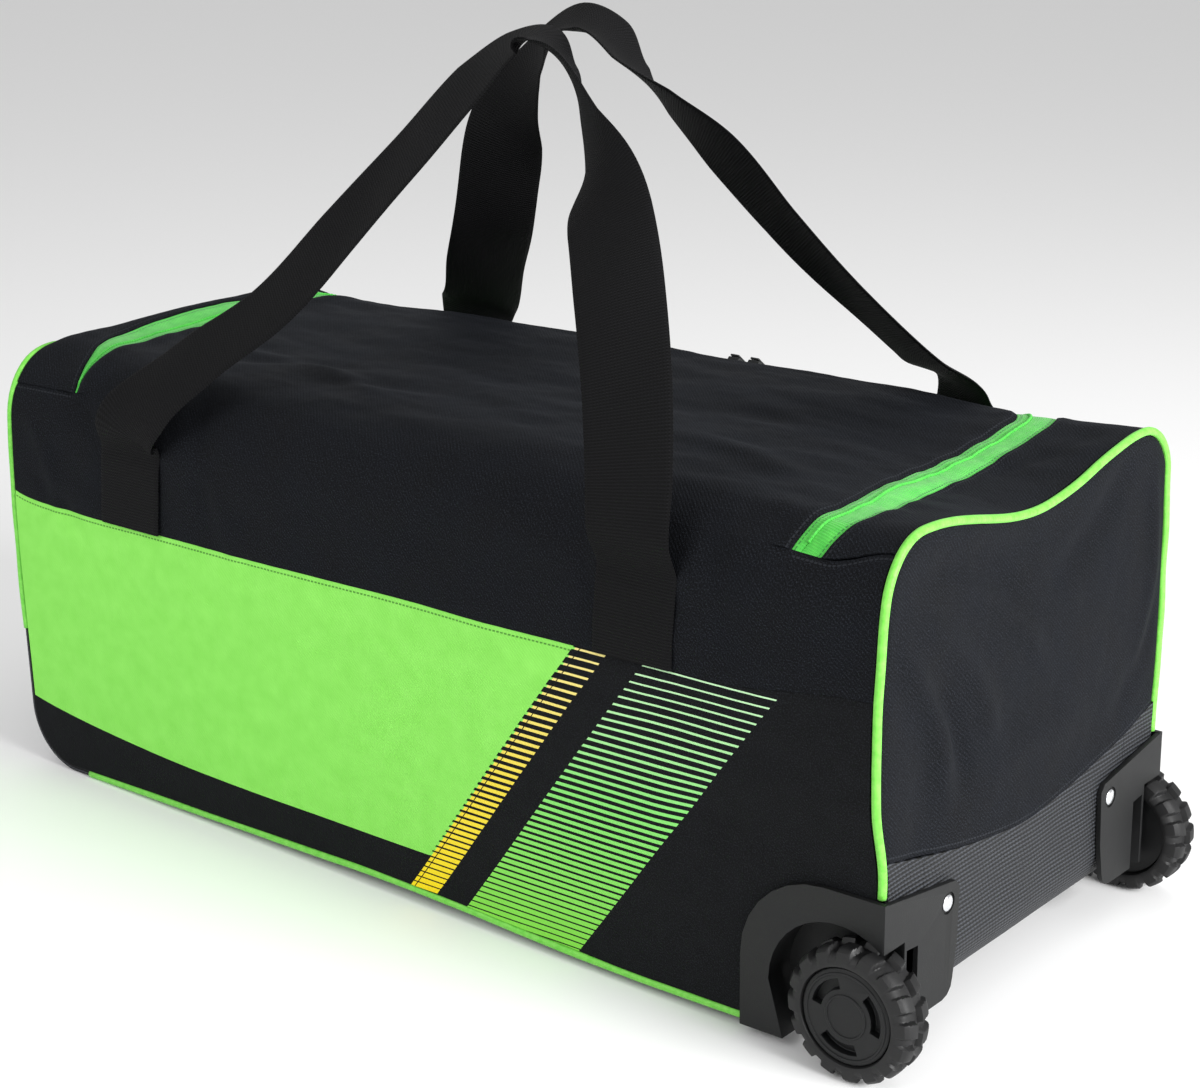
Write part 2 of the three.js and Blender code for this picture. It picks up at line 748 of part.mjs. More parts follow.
// Stiffened base, cut away at the two wheel wells
function basePanel() {
  const x0 = towEndRadius + seamGap;
  const x1 = bodyLength - wheelEndRadius - seamGap;
  const wellX = housingTow - seamGap;
  const wellY = wellDepth + wellWall + 4;
  const shape = new THREE.Shape();
  shape.moveTo(x0, edge);
  shape.lineTo(wellX, edge);
  shape.lineTo(wellX, wellY);
  shape.lineTo(x1, wellY);
  shape.lineTo(x1, bodyDepth - wellY);
  shape.lineTo(wellX, bodyDepth - wellY);
  shape.lineTo(wellX, bodyDepth - edge);
  shape.lineTo(x0, bodyDepth - edge);
  return new THREE.ExtrudeGeometry(shape, { depth: baseThickness, bevelEnabled: false, steps: 1 });
}

// Piping over an end, from height z0 on the front to the same height on the back
function endPiping(end, z0) {
  const x = end === 1 ? bodyLength - beadDepth : beadDepth;
  const edgeX = end * bodyLength;
  const c = section(edgeX);
  const from = frontGirth(edgeX, z0);
  const to = backGirth(edgeX, z0);
  const stops = [];
  for (let k = 0; k < stepsLeg; k += 1) {
    stops.push((from * (stepsLeg - k)) / stepsLeg);
  }
  stops.push(...overTheTop(c));
  for (let k = 1; k <= stepsLeg; k += 1) {
    stops.push(c.s3 + ((to - c.s3) * k) / stepsLeg);
  }
  const path = stops.map((s) => skin(edgeX, s, -beadDepth).setX(x));
  return bead(path, beadRadius);
}

// Black binding round the tow end's lower corner, flush with the scuff panel
function towBinding(back) {
  const path = [];
  const up = towBindingTop - seamGap - towEndRadius;
  const under = (-towEndRadius * Math.PI) / 2 - bindingRun;
  const inset = edge - seamGap - bindingRadius;
  for (let k = 0; k <= stepsBinding; k += 1) {
    const spot = lowerRound(0, towEndRadius, up + ((under - up) * k) / stepsBinding, -inset);
    const y = endEdgeY(0, Math.max(spot.z, edge), inset, back);
    path.push(new THREE.Vector3(spot.x, y, spot.z));
  }
  return bead(path, bindingRadius);
}

function bottomPiping(back) {
  const y = back ? bodyDepth - beadDepth : beadDepth;
  const from = towEndRadius + bindingRun + seamGap;
  const to = housingTow - seamGap;
  const at = (x) => new THREE.Vector3(x, y, beadRadius - bottomBeadProud);
  return bead([at(from), at((from + to) / 2), at(to)], beadRadius);
}

// Webbing handle: sewn legs on the panel, then the free route between them
function handle(route, legTow, legWheel, girth, outward) {
  const lift = strapClear + strapThickness / 2;
  const leg = (x) => {
    const from = printHeight + seamGap;
    const heights = Array.from({ length: stepsSewn + 1 }, (_, k) => from + ((sewnTop - from) * k) / stepsSewn);
    const place = (dx, z) => skin(x + dx * strapWidth, girth(x + dx * strapWidth, z), lift);
    return heights.map((z) => ({ at: place(0, z), across: place(0.5, z).sub(place(-0.5, z)).normalize() }));
  };
  const free = route.map((row) => ({
    at: new THREE.Vector3(row.x * bodyLength, row.y * bodyDepth, bodyHeight + row.rise * handleRise),
    across: new THREE.Vector3(...row.across),
  }));
  const stops = [...leg(legTow), ...free, ...leg(legWheel).reverse()];
  const path = new THREE.CatmullRomCurve3(stops.map((s) => s.at), false, "centripetal");
  const turn = new THREE.CatmullRomCurve3(stops.map((s) => s.across), false, "centripetal");
  const ring = (t) => {
    const along = path.getTangent(t);
    const across = turn.getPoint(t);
    across.addScaledVector(along, -across.dot(along)).normalize();
    const face = across.clone().cross(along).multiplyScalar(outward);
    const centre = path.getPoint(t);
    return (side, level) =>
      centre.clone().addScaledVector(across, side * strapWidth).addScaledVector(face, level * strapThickness);
  };
  const spot = (i, side, level) => ring(i / stepsStrap)(side, level);
  return sheet(
    stepsStrap,
    1,
    (i, j) => spot(i, j - 0.5, 0.5),
    (i, j) => spot(i, j - 0.5, -0.5),
  );
}

// Moulded housing at the front wheel corner; the back one is its mirror image
function housingShape() {
  const front = -plateClear - plateThickness;
  const endX = bodyLength + plateClear;
  const outX = endX + plateThickness;
  const outline = [
    [housingTow, -housingFoot],
    [outX, -housingFoot],
    [outX, housingTop],
    [housingTow + towCorner, housingTop],
    ...arcPoints(housingTow + towCorner, housingTop - towCorner, towCorner, Math.PI / 2, Math.PI, 7),
  ];
  let shape = slabXZ(outline, front, -plateClear);
  const foot = [
    [housingTow, -housingFoot],
    [archX, -housingFoot],
    [archX, -plateClear],
    [housingTow, -plateClear],
  ];
  shape = shape.add(slabXZ(foot, front, wellDepth + wellWall));
  const arch = archRadius + wellWall;
  const tunnel = [
    [archX - arch, -housingFoot],
    [outX, -housingFoot],
    [outX, notchTop + wellWall + 2],
    ...arcPoints(archX, archZ, arch, Math.PI * 0.34, Math.PI, 12),
  ];
  shape = shape.add(slabXZ(tunnel, front, wellDepth + wellWall));
  const endPlate = [
    [front, notchSide + 4],
    [notchReach, notchSide],
    [notchReach, endPlateFoot],
    [housingEndReach - endPlateRound - 10, endPlateFoot],
    ...arcPoints(housingEndReach - endPlateRound - 6, endPlateFoot + endPlateRound, endPlateRound,
      -Math.PI / 2, 0, 3),
    [housingEndReach - 2, housingEndTop / 2],
    [housingEndReach, housingEndTop - 6],
    [housingEndReach - 5, housingEndTop],
    [front, housingTop],
  ];
  shape = shape.add(slabYZ(endPlate, endX, outX));
  const well = [
    ...arcPoints(archX, archZ, archRadius, Math.PI * 0.3, Math.PI, 12),
    [archX - archRadius + 12, -housingFoot - 1],
    [outX + 1, -housingFoot - 1],
    [outX + 1, notchTop],
  ];
  shape = shape.subtract(slabXZ(well, front - 1, wellDepth));
  const below = [
    [bodyLength - wheelEndRadius * 0.75, -housingFoot - 1],
    [outX + 1, -housingFoot - 1],
    [outX + 1, endPlateFoot],
    ...arcPoints(bodyLength - wheelEndRadius, wheelEndRadius, wheelEndRadius + plateClear + plateThickness,
      -0.85, -1.3, 4),
  ];
  shape = shape.subtract(slabXZ(below, wellDepth - 0.1, housingEndReach + 1));
  const bore = turned([[0, front - 1], [axleRadius + seamGap, front - 1],
    [axleRadius + seamGap, wellDepth + wellWall + 1], [0, wellDepth + wellWall + 1]]);
  shape = shape.subtract(bore.translate([wheelX, 0, wheelZ]));
  const recess = turned([[0, -1], [rivetRecess, -1], [rivetRecess, rivetRecessDepth], [0, rivetRecessDepth]], 20);
  shape = shape.subtract(recess.rotate([0, 0, 90]).translate([outX, rivetY, rivetZ]));
  return shape;
}

// Block tread tyre: the tread radius steps in and out with the lugs
function tyreGeometry() {
  const groove = tyreRadius - treadDepth;
  const half = tyreHalfWidth;
  const profile = [
    { y: -half + 2, r: tyreInnerRadius, lug: 0 },
    { y: -half, r: tyreInnerRadius + 2.5, lug: 0 },
    { y: -half + 1.5, r: groove - 3.5, lug: 0.35 },
    { y: -half + 6, r: groove, lug: 1 },
    { y: half - 6, r: groove, lug: 1 },
    { y: half - 1.5, r: groove - 3.5, lug: 0.35 },
    { y: half, r: tyreInnerRadius + 2.5, lug: 0 },
    { y: half - 2, r: tyreInnerRadius, lug: 0 },
  ];
  const steps = [0.06, 0.44, 0.56, 0.94];
  const points = [];
  const index = [];
  const count = lugCount * steps.length;
  for (let i = 0; i < count; i += 1) {
    const within = i % steps.length;
    const a = (2 * Math.PI * (Math.floor(i / steps.length) + steps[within])) / lugCount;
    const raised = within < 2 ? 1 : 0;
    for (const row of profile) {
      const r = row.r + raised * row.lug * treadDepth;
      points.push(new THREE.Vector3(r * Math.cos(a), row.y, r * Math.sin(a)));
    }
  }
  const n = profile.length;
  for (let i = 0; i < count; i += 1) {
    const next = ((i + 1) % count) * n;
    for (let k = 0; k < n; k += 1) {
      const k1 = (k + 1) % n;
      index.push(i * n + k, next + k, next + k1, i * n + k, next + k1, i * n + k1);
    }
  }
  return solid(points, index);
}

// Hub with a raised cap on its outer face, three curved slots and a blind bore for the axle
function hubShape() {
  const outer = -tyreHalfWidth + 2 - hubFaceProud;
  const inner = tyreHalfWidth - 4;
  const profile = [
    [0, outer],
    [hubRadius - 1.6, outer],
    [hubRadius, outer + 1],
    [hubRadius, inner],
    [0, inner],
  ];
  let shape = turned(profile);
  const bore = [
    [0, outer + 5],
    [axleRadius + runningGap, outer + 5],
    [axleRadius + runningGap, inner + 1],
    [0, inner + 1],
  ];
  shape = shape.subtract(turned(bore, 16));
  for (let k = 0; k < 3; k += 1) {
    const mid = (2 * Math.PI * k) / 3 + 0.3;
    const outerArc = arcPoints(0, 0, slotRadius + slotWidth / 2, mid - slotSweep / 2, mid + slotSweep / 2, 5);
    const innerArc = arcPoints(0, 0, slotRadius - slotWidth / 2, mid + slotSweep / 2, mid - slotSweep / 2, 5);
    shape = shape.subtract(slabXZ([...outerArc, ...innerArc], outer - 1, outer + slotDepth));
  }
  return shape;
}

function axleShape() {
  const head = wellDepth + wellWall + seamGap;
  return turned([
    [0, wheelMidY - tyreHalfWidth + 8],
    [axleRadius, wheelMidY - tyreHalfWidth + 8],
    [axleRadius, head],
    [axleHeadRadius, head],
    [axleHeadRadius, head + axleHeadThickness],
    [0, head + axleHeadThickness],
  ], 16);
}

function rivetShape() {
  const rise = 2.2;
  const profile = [[0, seamGap], [rivetRadius, seamGap]];
  for (let k = 0; k < 4; k += 1) {
    const a = (Math.PI / 2) * ((k + 1) / 4);
    profile.push([k === 3 ? 0 : rivetRadius * Math.cos(a), seamGap + rise * Math.sin(a)]);
  }
  return turned(profile, 16).rotate([0, 0, -90]);
}

// Slider body over the zip and its pull tab, lying flat behind it
function addSlider(name, x) {
  const back = deckDepth - zipBackInset;
  const [px, s] = deck(x, back);
  const spot = skin(px, s, seamGap);
  const above = skin(px, s, 1 + seamGap);
  const up = above.clone().sub(spot).normalize();
  const across = new THREE.Vector3(1, 0, 0).cross(up);
  const frame = new THREE.Matrix4().makeBasis(new THREE.Vector3(1, 0, 0), up.clone().cross(new THREE.Vector3(1, 0, 0)), up);
  const place = (geometry, lift, shift) => {
    const at = spot.clone().addScaledVector(up, lift).addScaledVector(across, shift);
    return geometry.applyMatrix4(frame).translate(at.x, at.y, at.z);
  };
  const body = new THREE.BoxGeometry(sliderLength, sliderWidth, sliderHeight);
  addMesh(`${name}_slider`, place(body, sliderHeight / 2 + seamGap, 0), lime);
  const tab = new THREE.BoxGeometry(pullWidth, pullLength, pullThickness);
  addMesh(`${name}_pull`, place(tab, sliderHeight + 2 * seamGap + pullThickness / 2, -pullLength / 3), cloth);
}

function mirrored(manifold) {
  return manifold.mirror([0, 1, 0]).translate([0, bodyDepth, 0]);
}

function addBody() {
  addMesh("base_panel", basePanel(), cloth);
  addMesh("front_printed_panel", lowerPanel(frontGirth), print);
  addMesh("back_lower_panel", lowerPanel(backGirth), cloth);
  addMesh("lid_and_front_panel", lidPanel(), cloth);
  addMesh("top_gusset", gussetPanel(), cloth);
  addMesh("back_upper_panel", upperBackPanel(), cloth);
  addMesh("zip_inner_tape", zipTape(-zipGap / 2 - zipInnerTape, -zipGap / 2), lime);
  addMesh("zip_outer_tape", zipTape(zipGap / 2, zipGap / 2 + zipOuterTape), lime);
  addMesh("wheel_end_panel", endPanel(1, wheelScuffEdge, wheelScuffMiddle), cloth);
  addMesh("tow_end_panel", endPanel(0, towScuffEdge, towScuffMiddle), cloth);
  const notch = notchReach + 8;
  addMesh("wheel_end_scuff", scuffPanel(1, wheelEndRadius, wheelScuffEdge, wheelScuffMiddle, notch), ribbed);
  addMesh("tow_end_scuff", scuffPanel(0, towEndRadius, towScuffEdge, towScuffMiddle, 0), ribbed);
}

function addTrim() {
  addMesh("wheel_end_piping", endPiping(1, housingTop + 1 + seamGap), lime);
  addMesh("tow_end_piping", endPiping(0, towBindingTop + seamGap), lime);
  addMesh("front_bottom_piping", bottomPiping(false), lime);
  addMesh("back_bottom_piping", bottomPiping(true), lime);
  addMesh("tow_binding_front", towBinding(false), ribbed);
  addMesh("tow_binding_back", towBinding(true), ribbed);
  addSlider("zip_tow", sliderAt - sliderSpacing / 2);
  addSlider("zip_wheel", sliderAt + sliderSpacing / 2);
}

function addHandles() {
  addMesh("front_handle", handle(frontRoute, frontLegTow, frontLegWheel, frontGirth, -1), cloth);
  addMesh("back_handle", handle(backRoute, backLegTow, backLegWheel, backGirth, 1), cloth);
}

function addWheels() {
  const housing = housingShape();
  const hub = hubShape().translate([wheelX, wheelMidY, wheelZ]);
  const tyre = toManifold(tyreGeometry()).translate([wheelX, wheelMidY, wheelZ]);
  const axle = axleShape().translate([wheelX, 0, wheelZ]);
  const outX = bodyLength + plateClear + plateThickness;
  const rivet = rivetShape().translate([outX - rivetRecessDepth, rivetY, rivetZ]);
  const pieces = { wheel_housing: [housing, moulding], hub: [hub, moulding], tyre: [tyre, rubber],
    axle: [axle, steel], rivet: [rivet, steel] };
  for (const [name, [shape, look]] of Object.entries(pieces)) {
    addMesh(`${name}_front`, fromManifold(shape), look);
    addMesh(`${name}_back`, fromManifold(mirrored(shape)), look);
  }
}

// Tilt at which the tow end's round and the tyres touch the same level floor
function restingTilt() {
  const span = wheelX - towEndRadius;
  const drop = towEndRadius - wheelZ;
  const reach = Math.hypot(span, drop);
  return Math.asin((tyreRadius - towEndRadius) / reach) + Math.atan2(drop, span);
}

addBody();
addTrim();
addHandles();
addWheels();

// Tip the bag on to its wheels and put the origin under the middle of its box
bag.rotation.y = -restingTilt();
bag.updateMatrixWorld(true);
const box = new THREE.Box3();
for (const mesh of bag.children) {
  box.union(new THREE.Box3().setFromObject(mesh, true));
}
const middle = box.getCenter(new THREE.Vector3());
bag.position.set(-middle.x, -middle.y, -box.min.z);

const group = new THREE.Group();
group.add(bag);

export default group;
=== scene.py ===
"""Looks of the wheeled cricket kit bag, on the CAD frame.

Shapes are worked out in the bag's own level frame in millimetres (x from the towing end to the wheel end,
y from the front panel to the back, z up from the base) and put into the row frame by into_frame().
"""
import json
import math

import bmesh
import bpy
import numpy as np
from mathutils import Matrix, Vector


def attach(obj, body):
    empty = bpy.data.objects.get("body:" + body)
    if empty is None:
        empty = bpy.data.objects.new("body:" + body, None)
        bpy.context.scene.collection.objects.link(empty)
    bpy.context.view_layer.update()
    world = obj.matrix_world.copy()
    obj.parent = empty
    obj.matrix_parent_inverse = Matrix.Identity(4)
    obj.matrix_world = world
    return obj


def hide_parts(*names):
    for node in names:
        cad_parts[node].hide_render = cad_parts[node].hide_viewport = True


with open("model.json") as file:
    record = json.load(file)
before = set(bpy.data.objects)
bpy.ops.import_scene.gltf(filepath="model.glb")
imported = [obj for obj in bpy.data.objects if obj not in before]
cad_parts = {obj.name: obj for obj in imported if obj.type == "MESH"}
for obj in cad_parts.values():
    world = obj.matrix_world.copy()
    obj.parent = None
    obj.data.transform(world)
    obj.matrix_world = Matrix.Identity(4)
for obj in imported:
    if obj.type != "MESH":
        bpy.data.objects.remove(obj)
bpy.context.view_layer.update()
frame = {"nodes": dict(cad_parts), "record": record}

# Body, as in the part's source
BODY_LENGTH = 820.0
BODY_DEPTH = 363.0
BODY_HEIGHT = 340.0
WALL = 2.0
CORNER_ROUND = 52.0
BULGE = 12.0
TOP_SAG = 20.0
TOW_END_RADIUS = 50.0
WHEEL_END_RADIUS = 45.0
PRINT_HEIGHT = 228.0
FRONT_DECK_SEAM = 318.0
BACK_DECK_SEAM = 300.0
SEAM_GAP = 0.3

# Piping and bindings
BEAD_RADIUS = 2.9
BEAD_PROUD = 1.0
BOTTOM_BEAD_PROUD = 0.3
TOW_BINDING_TOP = 115.0
BINDING_RADIUS = 2.3
BINDING_RUN = 15.0
EDGE = 2 * BEAD_RADIUS - BEAD_PROUD + SEAM_GAP
BEAD_DEPTH = BEAD_RADIUS - BEAD_PROUD
LOWER_EDGE = 2 * BEAD_RADIUS - BOTTOM_BEAD_PROUD + SEAM_GAP

# Ribbed scuff panels
WHEEL_SCUFF = (131.0, 101.0)
TOW_SCUFF = (112.0, 88.0)
NOTCH_REACH = 44.0
NOTCH_TOP = 80.0

# Zip
ZIP_INNER_TAPE = 9.0
ZIP_OUTER_TAPE = 18.0
ZIP_GAP = 0.6
ZIP_WHEEL_SIDE = 736.0
ZIP_WHEEL_DRIFT = (20.0, 46.0, 72.0)
ZIP_TOW_SIDE = 44.0
ZIP_TOW_DRIFT = (26.0, 0.0, 80.0)
ZIP_BACK_INSET = 36.0
ZIP_CORNER = 44.0
ZIP_WHEEL_TAPER = (0.82, 40.0)
ZIP_TOW_TAPER = (0.08, 105.0)
DECK_SEAM_RISE = 14.0

# Handles
STRAP_WIDTH = 65.0
STRAP_THICKNESS = 2.2
STRAP_CLEAR = 0.6
HANDLE_RISE = 265.0
SEWN_TOP = 288.0
FRONT_LEGS = (148.0, 632.0)
BACK_LEGS = (158.0, 650.0)

# Wheels and housings
WHEEL_X = 804.0
WHEEL_Z = 28.0
WHEEL_MID_Y = -1.5
TYRE_RADIUS = 47.0
TYRE_INNER_RADIUS = 33.4
TYRE_HALF_WIDTH = 15.5
TREAD_DEPTH = 3.6
LUG_COUNT = 16
PLATE_OUT_X = BODY_LENGTH + 4.3
RIVET_Y = 72.0
RIVET_Z = 80.0
RIVET_RADIUS = 5.8
RIVET_RECESS_DEPTH = 1.4
HOUSING_TOW = 714.0
HOUSING_TOP = 106.0
ARCH_X = 790.0
ARCH_Z = 30.0
ARCH_RADIUS = 53.5

# Camera, from the fit to the photograph: level frame, millimetres and degrees
CAMERA_AT = (1609.0, -1261.0, 807.0)
CAMERA_AZIMUTH = 38.76
CAMERA_ELEVATION = 17.47
CAMERA_ROLL = -0.55
CAMERA_LENS = 78.03

# Cross-section along the bag, with the columns of the part's source
STATION_COLUMNS = ("at", "top", "front_round", "back_round", "front_bulge", "back_bulge", "sag")
STATIONS = np.array([
    (0.00, 1.022, 1.10, 1.30, 0.35, 0.3, -0.10),
    (0.10, 1.005, 1.12, 1.15, 0.70, 0.5, 0.05),
    (0.25, 1.000, 1.20, 0.90, 0.95, 0.8, 0.15),
    (0.50, 1.003, 1.20, 0.90, 1.00, 1.0, 0.20),
    (0.75, 1.000, 1.15, 0.90, 1.00, 0.8, 0.15),
    (0.90, 0.990, 0.95, 0.85, 0.95, 0.5, 0.45),
    (1.00, 1.003, 0.75, 0.75, 0.90, 0.3, 1.05),
])

# Dents and swells of the end panels: end, y, z, spread in y, spread in z (shares), depth (share of bulge)
END_DENTS = (
    (1, 0.50, 0.88, 0.30, 0.14, -0.6),
    (1, 0.14, 0.46, 0.10, 0.12, -0.45),
    (1, 0.55, 0.55, 0.30, 0.22, 0.35),
    (0, 0.50, 0.62, 0.34, 0.26, 0.5),
)

# Folds of the end cloth: end, y and z of both ends of the fold's line (mm), width, height
END_FOLDS = (
    (1, 14, 262, 74, 150, 11, 6.0),
    (1, 30, 282, 128, 176, 12, 4.6),
    (1, 44, 240, 96, 150, 8, -4.4),
    (1, 46, 312, 170, 250, 12, -4.6),
    (1, 60, 300, 190, 210, 10, 3.4),
    (1, 300, 320, 200, 262, 14, -4.0),
    (1, 342, 300, 318, 160, 10, 3.6),
    (1, 350, 220, 300, 145, 12, -3.2),
    (1, 120, 150, 250, 152, 16, 2.4),
    (0, 40, 300, 130, 190, 14, 3.0),
    (0, 320, 300, 230, 190, 14, 3.0),
)

# Folds of the body's cloth: x and girth of both ends (mm), width, height. Girth 0 is the foot of the
# front top round, and it grows over the top.
BODY_FOLDS = (
    (60, 150, 330, 118, 10, 2.4),
    (250, 120, 430, 150, 12, -1.8),
    (110, 95, 250, 180, 12, -2.4),
    (190, 60, 230, -30, 14, -3.0),
    (205, 20, 260, -50, 9, 1.6),
    (560, 40, 600, -30, 9, -1.8),
    (672, 50, 700, -40, 12, -2.4),
    (520, 160, 700, 120, 14, 2.2),
    (430, 200, 640, 240, 16, -2.0),
    (300, 240, 520, 210, 14, 1.6),
    (690, 70, 770, 40, 12, 1.8),
    (700, 10, 800, -20, 12, 1.6),
    (40, 40, 110, 10, 10, -1.8),
    (20, 10, 60, -60, 9, 1.8),
    (24, -40, 90, -70, 8, -1.2),
    (340, 30, 540, 20, 18, 1.8),
    (380, -10, 560, -24, 14, -1.4),
    (36, 388, 120, 392, 14, 9.0),
    (768, 110, 800, 330, 12, -3.0),
    (752, 90, 775, 250, 9, 2.0),
)

# Routes of the handles, as in the part's source: x and y shares, rise, across
FRONT_ROUTE = (
    (0.182, -0.03, -0.135, (1, -0.02, 0)),
    (0.209, -0.012, -0.03, (0.97, -0.12, -0.05)),
    (0.247, 0.05, 0.085, (0.94, -0.22, -0.12)),
    (0.299, 0.138, 0.226, (0.88, -0.36, -0.18)),
    (0.359, 0.218, 0.445, (0.8, -0.5, -0.33)),
    (0.414, 0.284, 0.657, (0.79, -0.54, -0.28)),
    (0.459, 0.358, 0.85, (0.77, -0.58, -0.26)),
    (0.484, 0.41, 0.945, (0.6, -0.76, -0.25)),
    (0.507, 0.434, 0.975, (0.45, -0.88, -0.15)),
    (0.532, 0.427, 0.935, (0.5, -0.85, 0.05)),
    (0.563, 0.394, 0.868, (0.63, -0.74, 0.22)),
    (0.606, 0.33, 0.74, (0.76, -0.6, 0.2)),
    (0.662, 0.22, 0.581, (0.98, 0.1, 0.12)),
    (0.71, 0.11, 0.419, (0.97, 0.22, 0.08)),
    (0.746, 0.027, 0.226, (0.97, 0.22, 0.08)),
    (0.764, -0.022, 0.04, (0.98, 0.16, 0.05)),
    (0.77, -0.042, -0.11, (1, 0.03, 0)),
)
BACK_ROUTE = (
    (0.198, 1.022, -0.12, (1, 0.03, 0)),
    (0.21, 1.005, -0.02, (0.97, 0.2, -0.03)),
    (0.24, 0.948, 0.055, (0.9, 0.38, -0.08)),
    (0.285, 0.845, 0.19, (0.9, 0.4, 0)),
    (0.335, 0.744, 0.347, (0.94, 0.3, 0.12)),
    (0.372, 0.675, 0.543, (0.96, 0.26, 0.13)),
    (0.394, 0.64, 0.665, (0.99, 0.1, 0.09)),
    (0.413, 0.63, 0.77, (0.96, -0.25, 0)),
    (0.44, 0.632, 0.895, (0.75, -0.64, -0.12)),
    (0.472, 0.63, 0.98, (0.5, -0.85, -0.16)),
    (0.511, 0.622, 0.972, (0.43, -0.89, -0.14)),
    (0.55, 0.606, 0.89, (0.52, -0.84, -0.05)),
    (0.588, 0.624, 0.79, (0.78, -0.58, 0.1)),
    (0.634, 0.655, 0.665, (0.93, -0.34, 0.12)),
    (0.682, 0.702, 0.491, (0.86, -0.46, 0.22)),
    (0.745, 0.771, 0.275, (0.8, -0.5, 0.2)),
    (0.783, 0.87, 0.105, (0.74, -0.6, 0.24)),
    (0.796, 0.985, 0.0, (0.86, -0.48, 0.05)),
    (0.795, 1.025, -0.12, (1, -0.03, 0)),
)


# Frames

def resting_tilt():
    """Angle at which the tow end's round and the tyres stand on one level floor."""
    span = WHEEL_X - TOW_END_RADIUS
    drop = TOW_END_RADIUS - WHEEL_Z
    return math.asin((TYRE_RADIUS - TOW_END_RADIUS) / math.hypot(span, drop)) + math.atan2(drop, span)


TILT = resting_tilt()
TURN = np.array([
    [math.cos(TILT), 0, -math.sin(TILT)],
    [0, 1, 0],
    [math.sin(TILT), 0, math.cos(TILT)],
])
FRONT_HINGE = np.array(frame["record"]["behaviour"]["joints"][0]["pos_m"])
SHIFT = FRONT_HINGE - TURN @ np.array([WHEEL_X, WHEEL_MID_Y, WHEEL_Z]) / 1000


def into_frame(points):
    """Level bag millimetres to row-frame metres: turned about y by the tilt, then shifted."""
    return np.asarray(points, float) @ TURN.T / 1000 + SHIFT


# Shape functions

def smoothstep(value, low, high):
    t = np.clip((value - low) / (high - low), 0, 1)
    return t * t * (3 - 2 * t)


def station_values(x):
    """Hermite curve through the rows of STATIONS, each column with its neighbours' slopes."""
    at = np.clip(np.asarray(x, float) / BODY_LENGTH, 0, 1)
    stops = STATIONS[:, 0]
    last = len(stops) - 1
    i = np.clip(np.searchsorted(stops, at, side="left") - 1, 0, last - 1)
    before = np.maximum(i - 1, 0)
    after = np.minimum(i + 2, last)
    run = stops[i + 1] - stops[i]
    t = (at - stops[i]) / run
    values = {}
    for k, name in enumerate(STATION_COLUMNS[1:], 1):
        column = STATIONS[:, k]
        slope_in = (column[i + 1] - column[before]) / (stops[i + 1] - stops[before])
        slope_out = (column[after] - column[i]) / (stops[after] - stops[i])
        values[name] = ((2 * t ** 3 - 3 * t ** 2 + 1) * column[i]
                        + (t ** 3 - 2 * t ** 2 + t) * run * slope_in
                        + (3 * t ** 2 - 2 * t ** 3) * column[i + 1]
                        + (t ** 3 - t ** 2) * run * slope_out)
    return values


def section(x):
    """Sizes of the cross-section at x: top height, rounds, bulges, sag and the girth stops s1 to s3."""
    row = station_values(x)
    top = row["top"] * BODY_HEIGHT
    front_round = row["front_round"] * CORNER_ROUND
    back_round = row["back_round"] * CORNER_ROUND
    s1 = front_round * math.pi / 2
    s2 = s1 + BODY_DEPTH - front_round - back_round
    s3 = s2 + back_round * math.pi / 2
    return {"top": top, "front_round": front_round, "back_round": back_round, "s1": s1, "s2": s2, "s3": s3,
            "front_bulge": row["front_bulge"] * BULGE, "back_bulge": row["back_bulge"] * BULGE,
            "sag": row["sag"] * TOP_SAG}


def wall_swell(amount, z, top, x):
    """Swell of a wall with height: a sine leaning to the foot, held flat behind the wheel housings."""
    t = np.clip(z / top, 0, 1) ** 1.35
    along = smoothstep(x, HOUSING_TOW - 70, HOUSING_TOW - 8)
    below = 1 - smoothstep(z, HOUSING_TOP + 6, HOUSING_TOP + 66)
    return amount * np.abs(np.sin(math.pi * t)) ** 1.2 * (1 - along * below)


def ripples(u, v, seed, wavelength, stretch=1.0, count=9):
    """Soft random relief from -1 to 1: a sum of plane waves about one wavelength long in random
    directions, stretched along u."""
    rng = np.random.default_rng(seed)
    total = np.zeros(np.broadcast(u, v).shape)
    for _ in range(count):
        a = rng.uniform(0, math.pi)
        k = 2 * math.pi / (wavelength * rng.uniform(0.7, 1.5))
        total = total + np.sin(k * (np.cos(a) * u / stretch + np.sin(a) * v) + rng.uniform(0, 2 * math.pi))
    return total / count ** 0.5 / 1.6


def ridge(u, v, fold):
    """A fold along a line: a bell across the line, dying away past both of its ends."""
    u0, v0, u1, v1, width, height = fold
    run = math.hypot(u1 - u0, v1 - v0)
    du, dv = (u1 - u0) / run, (v1 - v0) / run
    along = (u - u0) * du + (v - v0) * dv
    bend = 0.1 * run * np.sin(math.pi * np.clip(along / run, 0, 1))
    across = -(u - u0) * dv + (v - v0) * du - bend
    ends = smoothstep(along, -0.2 * run, 0.3 * run) * (1 - smoothstep(along, 0.7 * run, 1.2 * run))
    return height * np.exp(-(across / width) ** 2) * ends


def cloth_relief(x, s):
    """Height of the body cloth's wrinkles: broad swells, finer creases and the folds of BODY_FOLDS.
    They calm down near both ends, where the piping holds the cloth, and low on the walls."""
    held = smoothstep(x, 0, 40) * (1 - smoothstep(x, BODY_LENGTH - 34, BODY_LENGTH))
    on_wall = smoothstep(-s, 60, 140) + smoothstep(s, 420, 480)
    calm = 1 - 0.7 * np.clip(on_wall, 0, 1)
    total = 2.3 * ripples(x, s, 3, 150, 1.6) + 1.0 * ripples(x, s, 5, 46, 1.8) + 0.22 * ripples(x, s, 8, 17, 1.3)
    for fold in BODY_FOLDS:
        total = total + ridge(x, s, fold)
    return total * held * calm


